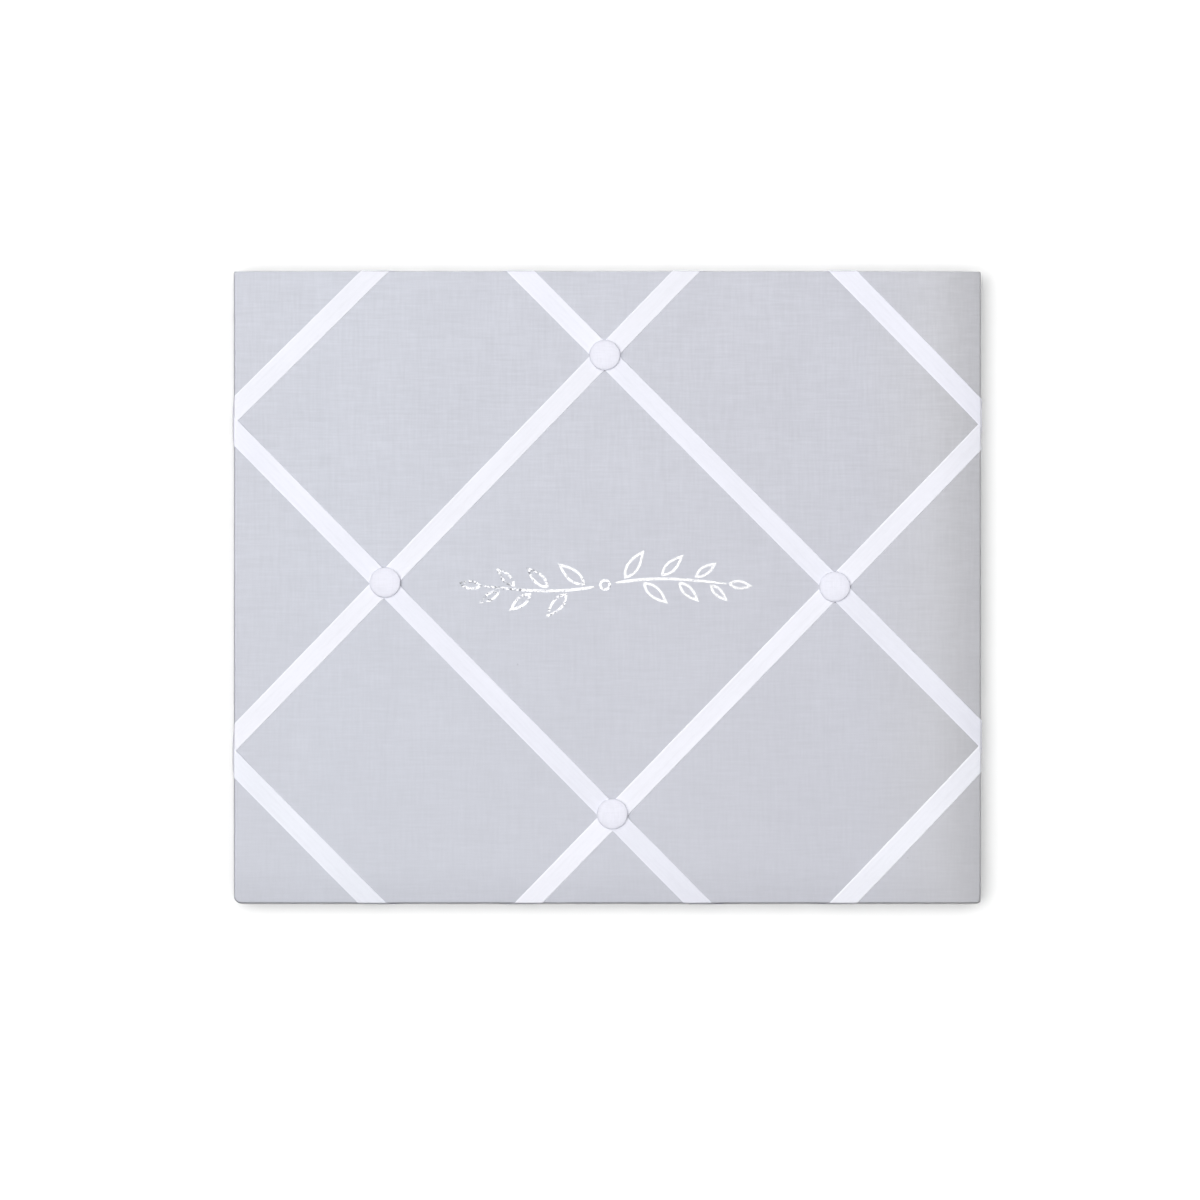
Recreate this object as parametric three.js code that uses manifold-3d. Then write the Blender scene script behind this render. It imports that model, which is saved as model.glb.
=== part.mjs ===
// French memo board: a padded, fabric-covered panel with a lattice of ribbons held by covered buttons.
// Millimetres. X runs to the viewer's right, Z up, the front faces -Y.
// The origin is the centre of the backing card's outer face, the plane that meets the wall.

import * as THREE from 'three';
import { mergeVertices } from 'three/addons/utils/BufferGeometryUtils.js';
import Module from 'manifold-3d';

const wasm = await Module();
wasm.setup();

// ---------------------------------------------------------------- driving dimensions

const BOARD_W = 370; // outline over the fabric
const BOARD_H = 313;
const CORNER_R = 2.5; // outline corners seen from the front

const CARD_T = 0.9; // backing card
const CARD_INSET = 7; // from the outline to the card's edge

const CLOTH_T = 0.45; // fabric cover
const HEM = 30; // fabric turned over onto the back
const CORE_BACK_Y = -2.85;
const CORE_T = 5;
const CORE_INSET = 1.1;
const PAD_BACK_Y = -8.05;
const PAD_GAP = 0.2; // between padding and cloth

// Edge of the board in section, on the outer face of the cloth, from the flat front round to the back:
// [distance in from the outline, Y]. The padding falls away gently and the edge itself is tight.
const EDGE = [
  [20, -16.8],
  [12, -16.62],
  [6, -16.2],
  [2.6, -15.6],
  [1.15, -14.95],
  [0.3, -13.9],
  [0, -12.6],
  [0, -3.4],
  [0.35, -2.55],
  [1.2, -2.2],
];
const FRONT_Y = EDGE[0][1];
const HEM_Y = EDGE[EDGE.length - 1][1];

const RIBBON_W = 10;
const RIBBON_T = 0.28;
const RIBBON_LOW = 0.12; // gap under a ribbon that lies on the cloth
const RIBBON_HIGH = 0.5; // gap under a ribbon where it passes over another
const RIBBON_TAIL = 15.5; // how far in from the outline the tail reaches on the back

const STAPLE_IN = 11.5; // from the outline to the staple
const STAPLE_CROWN = 8;
const STAPLE_WIRE = 0.45;
const STAPLE_FLAT = 0.9;
const STAPLE_LEG = 4.4;
const STAPLE_TOP_Y = -1.1;

const BUTTON_R = 7.5;
const BUTTON_BASE_Y = -17.7;
const TWINE_R = 0.35;
const TWINE_SPREAD = 1.2; // each leg from the button's axis
const TWINE_HOLE_R = 2.1;
const TWINE_FRONT_Y = -18.65;
const TWINE_BACK_Y = -1.5;
const WASHER_R = 6;
const WASHER_Y = [-2.7, -2.0];

const HANGER_X = 85;
const HINGE_Z = 122;
const HINGE_Y = 2.0;
const STRAP_W = 10;
const STRAP_L = 16;
const STRAP_T = 1.2;
const STRAP_Y = 0.1;
const LOOP_R = 1.9;
const LOOP_BORE_R = 1.2;
const RING_WIRE_R = 0.9;
const RING_HALF_W = 7;
const RING_STRAIGHT = 6;
const RING_LEAN = Math.asin(0.85 / (RING_STRAIGHT + RING_HALF_W)); // the ring leans onto the card
const SCREW_DROP = 9; // below the hinge
const SCREW_HEAD_R = 3;
const SCREW_SHANK_R = 1.25;
const SCREW_L = 8;
const SCREW_HOLE_R = 1.6;

// Ribbon runs: centre line where it meets the outline. v is Z on the left and right edges, X on the top and bottom.
const RIBBONS = [
  { name: 'ribbon_corner_top_left', over: false, from: ['left', 86.9], to: ['top', -114.6], via: [] },
  { name: 'ribbon_rising_upper', over: false, from: ['left', -75.2], to: ['top', 39.1], via: ['left', 'top'] },
  { name: 'ribbon_rising_lower', over: false, from: ['bottom', -39.5], to: ['right', 75.1], via: ['bottom', 'right'] },
  { name: 'ribbon_corner_bottom_right', over: false, from: ['bottom', 116.1], to: ['right', -84.3], via: [] },
  { name: 'ribbon_corner_bottom_left', over: true, from: ['left', -85.8], to: ['bottom', -115.4], via: [] },
  { name: 'ribbon_falling_lower', over: true, from: ['left', 78.2], to: ['bottom', 45.6], via: ['left', 'bottom'] },
  { name: 'ribbon_falling_upper', over: true, from: ['top', -42.7], to: ['right', -72.3], via: ['top', 'right'] },
  { name: 'ribbon_corner_top_right', over: true, from: ['top', 116.7], to: ['right', 86.6], via: [] },
];

const BUTTONS = {
  top: [-1.1, 115.0],
  left: [-109.6, 2.7],
  right: [112.4, 0.6],
  bottom: [2.6, -111.6],
};

// ---------------------------------------------------------------- materials

const paint = (color, roughness, metalness = 0) =>
  new THREE.MeshStandardMaterial({ color, roughness, metalness });
const CLOTH = [0xd0d2da, 0.9];
const WHITE_CLOTH = [0xf3f4fc, 0.7];
const STEEL = [0xb9bcc0, 0.35, 1];

// ---------------------------------------------------------------- solids

function solid(geometry) {
  const g = geometry.index ? geometry.toNonIndexed() : geometry.clone();
  for (const key of Object.keys(g.attributes)) if (key !== 'position') g.deleteAttribute(key);
  const m = mergeVertices(g, 1e-4);
  const p = m.attributes.position.array;
  const t = [];
  const index = m.index.array;
  for (let i = 0; i < index.length; i += 3) {
    const [a, b, c] = [index[i], index[i + 1], index[i + 2]];
    if (a !== b && b !== c && c !== a) t.push(a, b, c);
  }
  return new wasm.Manifold(
    new wasm.Mesh({ numProp: 3, vertProperties: new Float32Array(p), triVerts: new Uint32Array(t) }),
  );
}

function shape(body) {
  const mesh = body.getMesh();
  const g = new THREE.BufferGeometry();
  g.setAttribute('position', new THREE.BufferAttribute(new Float32Array(mesh.vertProperties), 3));
  g.setIndex(new THREE.BufferAttribute(new Uint32Array(mesh.triVerts), 1));
  g.computeVertexNormals();
  return g;
}

const minus = (body, cutters) => cutters.reduce((s, c) => s.subtract(c), body);

// Skin over a run of loops with the same number of points, closed by a flat cap at each end.
function loft(loops) {
  const n = loops[0].length;
  const points = loops.flat();
  const index = [];
  for (let r = 0; r + 1 < loops.length; r++) {
    for (let i = 0; i < n; i++) {
      const a = r * n + i;
      const b = r * n + ((i + 1) % n);
      index.push(a, b, b + n, a, b + n, a + n);
    }
  }
  const last = (loops.length - 1) * n;
  for (let i = 1; i + 1 < n; i++) {
    index.push(0, i + 1, i);
    index.push(last, last + i, last + i + 1);
  }
  let volume = 0;
  for (let i = 0; i < index.length; i += 3) {
    const [a, b, c] = [points[index[i]], points[index[i + 1]], points[index[i + 2]]];
    volume += a.dot(b.clone().cross(c));
  }
  if (volume < 0) {
    for (let i = 0; i < index.length; i += 3) [index[i], index[i + 1]] = [index[i + 1], index[i]];
  }
  const g = new THREE.BufferGeometry();
  g.setAttribute('position', new THREE.Float32BufferAttribute(points.flatMap((p) => [p.x, p.y, p.z]), 3));
  g.setIndex(index);
  return g;
}

// Round bar along an axis of the board, centred on a point.
function bar(r, length, axis, centre, sides = 10) {
  const g = new THREE.CylinderGeometry(r, r, length, sides);
  if (axis === 'x') g.rotateZ(Math.PI / 2);
  if (axis === 'z') g.rotateX(Math.PI / 2);
  g.translate(...centre);
  return g;
}

function block(size, centre) {
  const g = new THREE.BoxGeometry(...size);
  g.translate(...centre);
  return g;
}

// ---------------------------------------------------------------- edge section

// The section moved out (or in) along its own normals.
function offsetEdge(d) {
  const q = EDGE.map(([e, y]) => new THREE.Vector2(-e, y));
  const normals = [];
  for (let i = 0; i + 1 < q.length; i++) {
    const s = q[i + 1].clone().sub(q[i]).normalize();
    normals.push(new THREE.Vector2(s.y, -s.x));
  }
  normals.unshift(new THREE.Vector2(0, -1));
  normals.push(new THREE.Vector2(0, 1));
  return q.map((p, i) => {
    const [a, b] = [normals[i], normals[i + 1]];
    const k = d / (1 + a.dot(b));
    return [-(p.x + (a.x + b.x) * k), p.y + (a.y + b.y) * k];
  });
}

// Length of the section from the flat front, as the distance in from the outline it would have if laid flat.
const UNFOLDED = EDGE.reduce((list, [e, y], i) => {
  if (i === 0) return [e];
  const [e0, y0] = EDGE[i - 1];
  return [...list, list[i - 1] - Math.hypot(e - e0, y - y0)];
}, []);

// Rounded rectangle, e inside the outline, at depth y.
function outlineLoop(e, y) {
  const a = BOARD_W / 2 - e;
  const b = BOARD_H / 2 - e;
  const r = Math.max(0.3, CORNER_R - e);
  const loop = [];
  [[1, 1, 0], [-1, 1, 90], [-1, -1, 180], [1, -1, 270]].forEach(([sx, sz, start]) => {
    for (let k = 0; k <= 3; k++) {
      const t = THREE.MathUtils.degToRad(start + k * 30);
      loop.push(new THREE.Vector3(sx * (a - r) + r * Math.cos(t), y, sz * (b - r) + r * Math.sin(t)));
    }
  });
  return loop;
}

// ---------------------------------------------------------------- ribbons and their staples

const SIDES = {
  left: { n: [-1, 0], t: [0, 1], half: BOARD_W / 2 },
  right: { n: [1, 0], t: [0, 1], half: BOARD_W / 2 },
  top: { n: [0, 1], t: [1, 0], half: BOARD_H / 2 },
  bottom: { n: [0, -1], t: [1, 0], half: BOARD_H / 2 },
};
const at = (side, e, v) => [side.n[0] * (side.half - e) + side.t[0] * v, side.n[1] * (side.half - e) + side.t[1] * v];
const dot = (a, b) => a[0] * b[0] + a[1] * b[1];

// Where a straight line, entering from one side, lies at an unfolded distance in from that side's outline.
function alongSide(side, point, inward) {
  const e0 = side.half - dot(point, side.n);
  const v0 = dot(point, side.t);
  const k = dot(inward, side.t) / -dot(inward, side.n);
  return (e) => v0 + (e - e0) * k;
}

// One end of a ribbon, from its tail on the back, round the edge, to the flat front.
function ribbonEnd(side, edges, inward, over) {
  const lines = edges.map((p) => alongSide(side, p, inward));
  const crossed = over && (side === SIDES.left || side === SIDES.right);
  const heights = EDGE.map((_, i) => (crossed && i >= 2 ? RIBBON_HIGH : RIBBON_LOW));
  const rows = [];
  const back = UNFOLDED[UNFOLDED.length - 1];
  const inner = EDGE[EDGE.length - 1][0];
  for (const e of [RIBBON_TAIL, 7]) {
    const flat = back - (e - inner);
    rows.push({ v: lines.map((f) => f(flat)), low: [e, HEM_Y + RIBBON_LOW], high: [e, HEM_Y + RIBBON_LOW + RIBBON_T] });
  }
  for (let i = EDGE.length - 1; i >= 0; i--) {
    rows.push({
      v: lines.map((f) => f(UNFOLDED[i])),
      low: offsetEdge(heights[i])[i],
      high: offsetEdge(heights[i] + RIBBON_T)[i],
    });
  }
  return rows.map(({ v, low, high }) => {
    const corner = ([e, y], vv) => {
      const [x, z] = at(side, e, vv);
      return new THREE.Vector3(x, y, z);
    };
    return [corner(low, v[0]), corner(low, v[1]), corner(high, v[1]), corner(high, v[0])];
  });
}

function stapleAt(side, v) {
  const [x, z] = at(side, STAPLE_IN, v);
  const turn = side.t[0] === 1 ? 0 : Math.PI / 2; // the crown runs along the board's edge
  const w = STAPLE_CROWN / 2;
  const leg = STAPLE_WIRE + 0.15;
  const u = new THREE.Shape();
  u.moveTo(-w, 0);
  u.lineTo(w, 0);
  u.lineTo(w, -STAPLE_LEG);
  u.lineTo(w - leg, -STAPLE_LEG);
  u.lineTo(w - leg, -STAPLE_WIRE);
  u.lineTo(-w + leg, -STAPLE_WIRE);
  u.lineTo(-w + leg, -STAPLE_LEG);
  u.lineTo(-w, -STAPLE_LEG);
  u.closePath();
  const place = (g) => {
    g.rotateY(turn);
    g.translate(x, STAPLE_TOP_Y, z);
    return g;
  };
  const g = new THREE.ExtrudeGeometry(u, { depth: STAPLE_FLAT, bevelEnabled: false });
  g.translate(0, 0, -STAPLE_FLAT / 2);
  const slots = [-1, 1].map((s) =>
    solid(place(block([leg + 0.4, STAPLE_LEG + 1.4, STAPLE_FLAT + 0.4], [s * (w - leg / 2), -(STAPLE_LEG - 0.8) / 2, 0]))),
  );
  return { geometry: place(g), slots };
}

const staples = [];
const ribbons = [];
const stapleCount = { left: 0, right: 0, top: 0, bottom: 0 };

for (const run of RIBBONS) {
  const [sa, sb] = [SIDES[run.from[0]], SIDES[run.to[0]]];
  const a = at(sa, 0, run.from[1]);
  const b = at(sb, 0, run.to[1]);
  const length = Math.hypot(b[0] - a[0], b[1] - a[1]);
  const u = [(b[0] - a[0]) / length, (b[1] - a[1]) / length];
  const p = [(-u[1] * RIBBON_W) / 2, (u[0] * RIBBON_W) / 2];
  const back = [-u[0], -u[1]];
  const both = (q) => [[q[0] + p[0], q[1] + p[1]], [q[0] - p[0], q[1] - p[1]]];

  const middle = [];
  if (run.over) {
    const stops = run.via.map((k) => dot([BUTTONS[k][0] - a[0], BUTTONS[k][1] - a[1]], u)).sort((m, n) => m - n);
    for (const s of stops) {
      for (const [ds, low] of [[-12, RIBBON_LOW], [-6.5, RIBBON_HIGH], [6.5, RIBBON_HIGH], [12, RIBBON_LOW]]) {
        const [l, r] = both([a[0] + u[0] * (s + ds), a[1] + u[1] * (s + ds)]);
        const y = FRONT_Y - low;
        middle.push([
          new THREE.Vector3(l[0], y, l[1]),
          new THREE.Vector3(r[0], y, r[1]),
          new THREE.Vector3(r[0], y - RIBBON_T, r[1]),
          new THREE.Vector3(l[0], y - RIBBON_T, l[1]),
        ]);
      }
    }
  }
  const loops = [
    ...ribbonEnd(sa, both(a), u, run.over),
    ...middle,
    ...ribbonEnd(sb, both(b), back, run.over).reverse(),
  ];
  let body = solid(loft(loops));

  for (const [key, side, point, inward] of [[run.from[0], sa, a, u], [run.to[0], sb, b, back]]) {
    const flat = UNFOLDED[UNFOLDED.length - 1] - (STAPLE_IN - EDGE[EDGE.length - 1][0]);
    const staple = stapleAt(side, alongSide(side, point, inward)(flat));
    staples.push({ name: `staple_${key}_${++stapleCount[key]}`, ...staple });
    body = minus(body, staple.slots);
  }
  body = minus(body, run.via.map((k) => solid(bar(TWINE_HOLE_R, 6, 'y', [BUTTONS[k][0], FRONT_Y, BUTTONS[k][1]]))));
  ribbons.push({ name: run.name, geometry: shape(body) });
}

const stapleSlots = staples.flatMap((s) => s.slots);
const twineHoles = Object.values(BUTTONS).map(([x, z]) => solid(bar(TWINE_HOLE_R, 60, 'y', [x, 0, z])));

// ---------------------------------------------------------------- cover, padding, core, card

const outer = offsetEdge(0);
const innerFace = offsetEdge(-CLOTH_T);
const coverBody = minus(
  solid(
    loft([
      ...outer.map(([e, y]) => outlineLoop(e, y)),
      outlineLoop(HEM, HEM_Y),
      outlineLoop(HEM, HEM_Y - CLOTH_T),
      ...innerFace.reverse().map(([e, y]) => outlineLoop(e, y)),
    ]),
  ),
  [...stapleSlots, ...twineHoles],
);

const padFace = offsetEdge(-CLOTH_T - PAD_GAP).slice(0, 7);
const padBody = minus(
  solid(loft([...padFace.map(([e, y]) => outlineLoop(e, y)), outlineLoop(padFace[6][0], PAD_BACK_Y)])),
  twineHoles,
);

const screwZ = HINGE_Z - SCREW_DROP;
const screwHoles = [-HANGER_X, HANGER_X].map((x) => solid(bar(SCREW_HOLE_R, 10, 'y', [x, -2.1, screwZ], 12)));

const coreBody = minus(
  solid(loft([outlineLoop(CORE_INSET, CORE_BACK_Y - CORE_T), outlineLoop(CORE_INSET, CORE_BACK_Y)])),
  [...stapleSlots, ...twineHoles, ...screwHoles],
);

const cardBody = minus(
  solid(block([BOARD_W - 2 * CARD_INSET, CARD_T, BOARD_H - 2 * CARD_INSET], [0, -CARD_T / 2, 0])),
  screwHoles,
);

// ---------------------------------------------------------------- covered buttons

// Height above the base, out of the front, becomes -Y.
function buttonLathe(profile, sides, [x, z]) {
  const g = new THREE.LatheGeometry(profile.map(([r, h]) => new THREE.Vector2(r, h)), sides);
  g.rotateX(Math.PI); // +Y height to -Y
  g.translate(x, BUTTON_BASE_Y, z);
  return orient(g);
}

// Faces outwards, whichever way round the profile was drawn.
function orient(g) {
  const n = g.index ? g.toNonIndexed() : g;
  const p = n.attributes.position;
  let volume = 0;
  const [a, b, c] = [new THREE.Vector3(), new THREE.Vector3(), new THREE.Vector3()];
  for (let i = 0; i < p.count; i += 3) {
    a.fromBufferAttribute(p, i);
    b.fromBufferAttribute(p, i + 1);
    c.fromBufferAttribute(p, i + 2);
    volume += a.dot(b.cross(c));
  }
  if (volume > 0) return n;
  for (let i = 0; i < p.count; i += 3) {
    const [x, y, z] = [p.getX(i), p.getY(i), p.getZ(i)];
    p.setXYZ(i, p.getX(i + 1), p.getY(i + 1), p.getZ(i + 1));
    p.setXYZ(i + 1, x, y, z);
  }
  return n;
}

// Low, lens-shaped covered buttons with a thin rim: [radius, height].
const CAP_PROFILE = [
  [0, 2.4], [3.6, 2.16], [5.6, 1.66], [6.8, 1.04], [BUTTON_R, 0.5], [7.4, 0.18], [6.9, 0],
  [5.0, 0], [5.0, 0.2], [6.65, 0.2], [6.98, 0.5], [6.48, 0.92], [5.4, 1.42], [3.5, 1.86], [0, 2.08],
];
const SHELL_PROFILE = [
  [0, 1.84], [3.4, 1.62], [5.25, 1.18], [6.2, 0.76], [6.4, 0.56],
  [6.05, 0.56], [5.85, 0.7], [5.1, 0.96], [3.35, 1.38], [0, 1.58],
];
const PLATE_PROFILE = [[0, 0.34], [5.5, 0.34], [5.5, 0.56], [0, 0.56]];

const buttons = [];
for (const [key, centre] of Object.entries(BUTTONS)) {
  const [x, z] = centre;
  const legs = [-TWINE_SPREAD, TWINE_SPREAD];
  const eyes = legs.map((d) => solid(bar(0.75, 60, 'y', [x + d, 0, z], 8)));
  const plate = minus(solid(buttonLathe(PLATE_PROFILE, 16, centre)), eyes);
  const washer = minus(
    solid(bar(WASHER_R, WASHER_Y[1] - WASHER_Y[0], 'y', [x, (WASHER_Y[0] + WASHER_Y[1]) / 2, z], 16)),
    eyes,
  );
  const mid = (TWINE_FRONT_Y + TWINE_BACK_Y) / 2;
  const run = TWINE_BACK_Y - TWINE_FRONT_Y;
  const knot = new THREE.SphereGeometry(1, 8, 6);
  knot.scale(1.1, TWINE_R, 0.8);
  knot.translate(x, TWINE_BACK_Y, z);
  const twine = [
    ...legs.map((d) => bar(TWINE_R, run + 2 * TWINE_R, 'y', [x + d, mid, z], 6)),
    bar(TWINE_R * 0.85, 2 * TWINE_SPREAD, 'x', [x, TWINE_FRONT_Y, z], 6),
    bar(TWINE_R * 0.9, 2 * TWINE_SPREAD, 'x', [x, TWINE_BACK_Y, z], 6),
    knot,
  ].map(solid).reduce((s, t) => s.add(t));
  buttons.push(
    [`button_${key}_cap`, buttonLathe(CAP_PROFILE, 16, centre), paint(...WHITE_CLOTH)],
    [`button_${key}_shell`, buttonLathe(SHELL_PROFILE, 12, centre), paint(...STEEL)],
    [`button_${key}_plate`, shape(plate), paint(...STEEL)],
    [`button_${key}_twine`, shape(twine), paint(0xe9e4d8, 0.8)],
    [`button_${key}_washer`, shape(washer), paint(0xd8d6d0, 0.5)],
  );
}

// ---------------------------------------------------------------- hangers

// Strap: a plate with a rounded foot, rolled into a loop at its top. The hinge line is the local X axis.
function strapGeometry() {
  const s = new THREE.Shape();
  const h = STRAP_W / 2;
  const foot = STRAP_L - h;
  s.moveTo(-h, 0);
  s.lineTo(-h, -foot);
  s.absarc(0, -foot, h, Math.PI, 2 * Math.PI, false);
  s.lineTo(h, 0);
  s.closePath();
  const plate = new THREE.ExtrudeGeometry(s, { depth: STRAP_T, bevelEnabled: false, curveSegments: 10 });
  plate.rotateX(Math.PI / 2); // drawn X, Y to X, Z; depth to -Y
  plate.translate(0, STRAP_Y - HINGE_Y + STRAP_T, 0);
  return shape(
    minus(solid(plate).add(solid(bar(LOOP_R, STRAP_W, 'x', [0, 0, 0], 14))), [
      solid(bar(LOOP_BORE_R, STRAP_W + 2, 'x', [0, 0, 0], 14)),
      solid(bar(1.9, 20, 'y', [0, 0, -SCREW_DROP], 12)),
    ]),
  );
}

// Ring: a straight bar through the loop, closed by a round bow.
function ringGeometry() {
  const points = [new THREE.Vector3(-RING_HALF_W, 0, 0), new THREE.Vector3(-RING_HALF_W, 0, RING_STRAIGHT / 2)];
  for (let k = 0; k <= 10; k++) {
    const t = Math.PI - (Math.PI * k) / 10;
    points.push(new THREE.Vector3(RING_HALF_W * Math.cos(t), 0, RING_STRAIGHT + RING_HALF_W * Math.sin(t)));
  }
  points.push(new THREE.Vector3(RING_HALF_W, 0, RING_STRAIGHT / 2), new THREE.Vector3(RING_HALF_W, 0, 0));
  const section = new THREE.Shape();
  section.absarc(0, 0, RING_WIRE_R, 0, 2 * Math.PI, false);
  const bow = new THREE.ExtrudeGeometry(section, {
    steps: 16,
    curveSegments: 4,
    bevelEnabled: false,
    extrudePath: new THREE.CatmullRomCurve3(points),
  });
  return shape(solid(orient(bow)).add(solid(bar(RING_WIRE_R, 2 * RING_HALF_W + 1.7, 'x', [0, 0, 0], 10))));
}

// Pan-head screw with a cross recess, its axis along Y, the head's underside at Y = 0.
function screwGeometry() {
  const g = new THREE.LatheGeometry(
    [[0, -SCREW_L], [SCREW_SHANK_R, -SCREW_L + 1.8], [SCREW_SHANK_R, 0], [SCREW_HEAD_R, 0], [SCREW_HEAD_R * 0.93, 0.75], [SCREW_HEAD_R * 0.62, 1.35], [0, 1.6]].map(
      ([r, y]) => new THREE.Vector2(r, y),
    ),
    14,
  );
  return shape(
    minus(solid(orient(g)), [solid(block([3.2, 1.4, 0.7], [0, 1.6, 0])), solid(block([0.7, 1.4, 3.2], [0, 1.6, 0]))]),
  );
}

// ---------------------------------------------------------------- the assembly

const board = new THREE.Group();
board.name = 'french_memo_board';

function add(name, geometry, material, parent = board) {
  const mesh = new THREE.Mesh(geometry, material);
  mesh.name = name;
  parent.add(mesh);
  return mesh;
}

add('core_board', shape(coreBody), paint(0xb08c62, 0.85));
add('padding', shape(padBody), paint(0xf2f0ea, 0.95));
add('fabric_cover', shape(coverBody), paint(...CLOTH));
add('backing_card', shape(cardBody), paint(0x8f8d89, 0.9));
for (const { name, geometry } of ribbons) add(name, geometry, paint(...WHITE_CLOTH));
for (const [name, geometry, material] of buttons) add(name, geometry, material);
for (const { name, geometry } of staples) add(name, geometry, paint(...STEEL));

for (const [key, x] of [['left', -HANGER_X], ['right', HANGER_X]]) {
  const hanger = new THREE.Group();
  hanger.position.set(x, HINGE_Y, HINGE_Z);
  board.add(hanger);
  add(`hanger_${key}_strap`, strapGeometry(), paint(...STEEL), hanger);
  add(`hanger_${key}_ring`, ringGeometry(), paint(...STEEL), hanger).rotation.x = RING_LEAN;
  add(`hanger_${key}_screw`, screwGeometry(), paint(...STEEL), hanger).position.set(
    0,
    STRAP_Y + STRAP_T + 0.1 - HINGE_Y,
    -SCREW_DROP,
  );
}

export default board;
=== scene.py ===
"""French memo board: padded panel in grey linen-look cloth, white ribbon lattice, covered buttons, D-ring hangers."""

import math

import bmesh
import bpy
import numpy as np
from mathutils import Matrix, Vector


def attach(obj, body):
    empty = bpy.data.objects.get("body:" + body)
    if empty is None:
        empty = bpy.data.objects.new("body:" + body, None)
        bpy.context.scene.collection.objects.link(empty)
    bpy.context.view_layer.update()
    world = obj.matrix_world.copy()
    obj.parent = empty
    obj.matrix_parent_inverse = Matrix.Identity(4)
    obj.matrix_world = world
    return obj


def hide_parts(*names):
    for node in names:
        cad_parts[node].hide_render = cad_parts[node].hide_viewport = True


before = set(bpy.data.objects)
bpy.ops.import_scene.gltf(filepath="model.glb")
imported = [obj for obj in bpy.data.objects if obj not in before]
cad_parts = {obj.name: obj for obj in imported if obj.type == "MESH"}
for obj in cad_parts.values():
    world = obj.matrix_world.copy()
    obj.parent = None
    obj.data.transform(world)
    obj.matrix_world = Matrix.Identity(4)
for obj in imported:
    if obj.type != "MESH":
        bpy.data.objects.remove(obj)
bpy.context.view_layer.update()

MM = 0.001

# ------------------------------------------------------------------ dimensions, millimetres
# X to the viewer's right, Z up, the front faces -Y, Y = 0 is the outer face of the backing card.

A, B = 185.0, 156.5  # half width and half height over the cloth
FRONT_Y = -16.8  # flat front of the cloth
CLOTH_T = 0.45
HEM_Y = -2.2
HEM = 30.0
CORNER = {(-1, 1): 0.6, (1, 1): 0.7, (-1, -1): 4.0, (1, -1): 2.0}
SOFT_CORNER = 1.6

# How far the padding falls away towards each edge, and how wide that fall is.
FALL = {"left": (0.2, 12.0), "right": (2.2, 25.0), "top": (0.35, 14.0), "bottom": (1.3, 19.0)}
ROLL = {"left": 0.9, "right": 0.9, "top": 0.8, "bottom": 0.9}  # radius of the tight turn at the edge itself
LEAN = {"left": 3.5, "right": 0.0, "top": 0.0, "bottom": 3.6}  # slope of a narrow bevel outside it
BEVEL = {"left": 1.25, "right": 0.8, "top": 0.8, "bottom": 0.9}  # and its width

RIBBON_W = 10.0
RIBBON_T = 0.24
GAP_LOW, GAP_HIGH = 0.04, 0.34
RIBBON_TAIL = 15.5

RIBBONS = {
    "corner_top_left": (False, ("left", 86.9), ("top", -114.6), ()),
    "rising_upper": (False, ("left", -75.2), ("top", 39.1), ("left", "top")),
    "rising_lower": (False, ("bottom", -39.5), ("right", 75.1), ("bottom", "right")),
    "corner_bottom_right": (False, ("bottom", 116.1), ("right", -84.3), ()),
    "corner_bottom_left": (True, ("left", -85.8), ("bottom", -115.4), ()),
    "falling_lower": (True, ("left", 78.2), ("bottom", 45.6), ("left", "bottom")),
    "falling_upper": (True, ("top", -42.7), ("right", -72.3), ("top", "right")),
    "corner_top_right": (True, ("top", 116.7), ("right", 86.6), ()),
}
BUTTONS = {"top": (-1.1, 115.0), "left": (-109.6, 2.7), "right": (112.4, 0.6), "bottom": (2.6, -111.6)}
BUTTON_R = 7.5
BUTTON_BASE_Y = -17.47  # underside of a button's rim, on the upper ribbon

CARD_INSET, CARD_T = 7.0, 0.9
HANGER_X, HINGE_Y, HINGE_Z = 85.0, 2.0, 122.0
STRAP_W, STRAP_L, STRAP_T, STRAP_Y = 10.0, 16.0, 1.2, 0.1
LOOP_R, LOOP_BORE = 1.9, 1.2
RING_WIRE, RING_HALF, RING_STRAIGHT = 0.9, 7.0, 6.0
RING_LEAN = math.asin(0.85 / (RING_STRAIGHT + RING_HALF))
SCREW_DROP, SCREW_HEAD, SCREW_SHANK, SCREW_L = 9.0, 3.0, 1.25, 8.0

SIDES = {
    "left": ((-1.0, 0.0), (0.0, 1.0), A),
    "right": ((1.0, 0.0), (0.0, 1.0), A),
    "top": ((0.0, 1.0), (1.0, 0.0), B),
    "bottom": ((0.0, -1.0), (1.0, 0.0), B),
}


# ------------------------------------------------------------------ mesh helpers

def piece(name, points, faces, materials, uv=None, sharp=None, index=None):
    """A new mesh object from points in millimetres."""
    me = bpy.data.meshes.new(name)
    me.from_pydata((np.asarray(points, float) * MM).tolist(), [], [list(map(int, f)) for f in faces])
    me.polygons.foreach_set("use_smooth", [True] * len(me.polygons))
    if sharp is not None:
        me.set_sharp_from_angle(angle=math.radians(sharp))
    if uv is not None:
        layer = me.uv_layers.new(name="run")
        loops = np.zeros(len(me.loops), int)
        me.loops.foreach_get("vertex_index", loops)
        layer.data.foreach_set("uv", (np.asarray(uv, float) * MM)[loops].ravel())
    for m in materials if isinstance(materials, (list, tuple)) else [materials]:
        me.materials.append(m)
    if index is not None:
        me.polygons.foreach_set("material_index", list(map(int, index)))
    me.update()
    ob = bpy.data.objects.new(name, me)
    bpy.context.scene.collection.objects.link(ob)
    return ob


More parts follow.
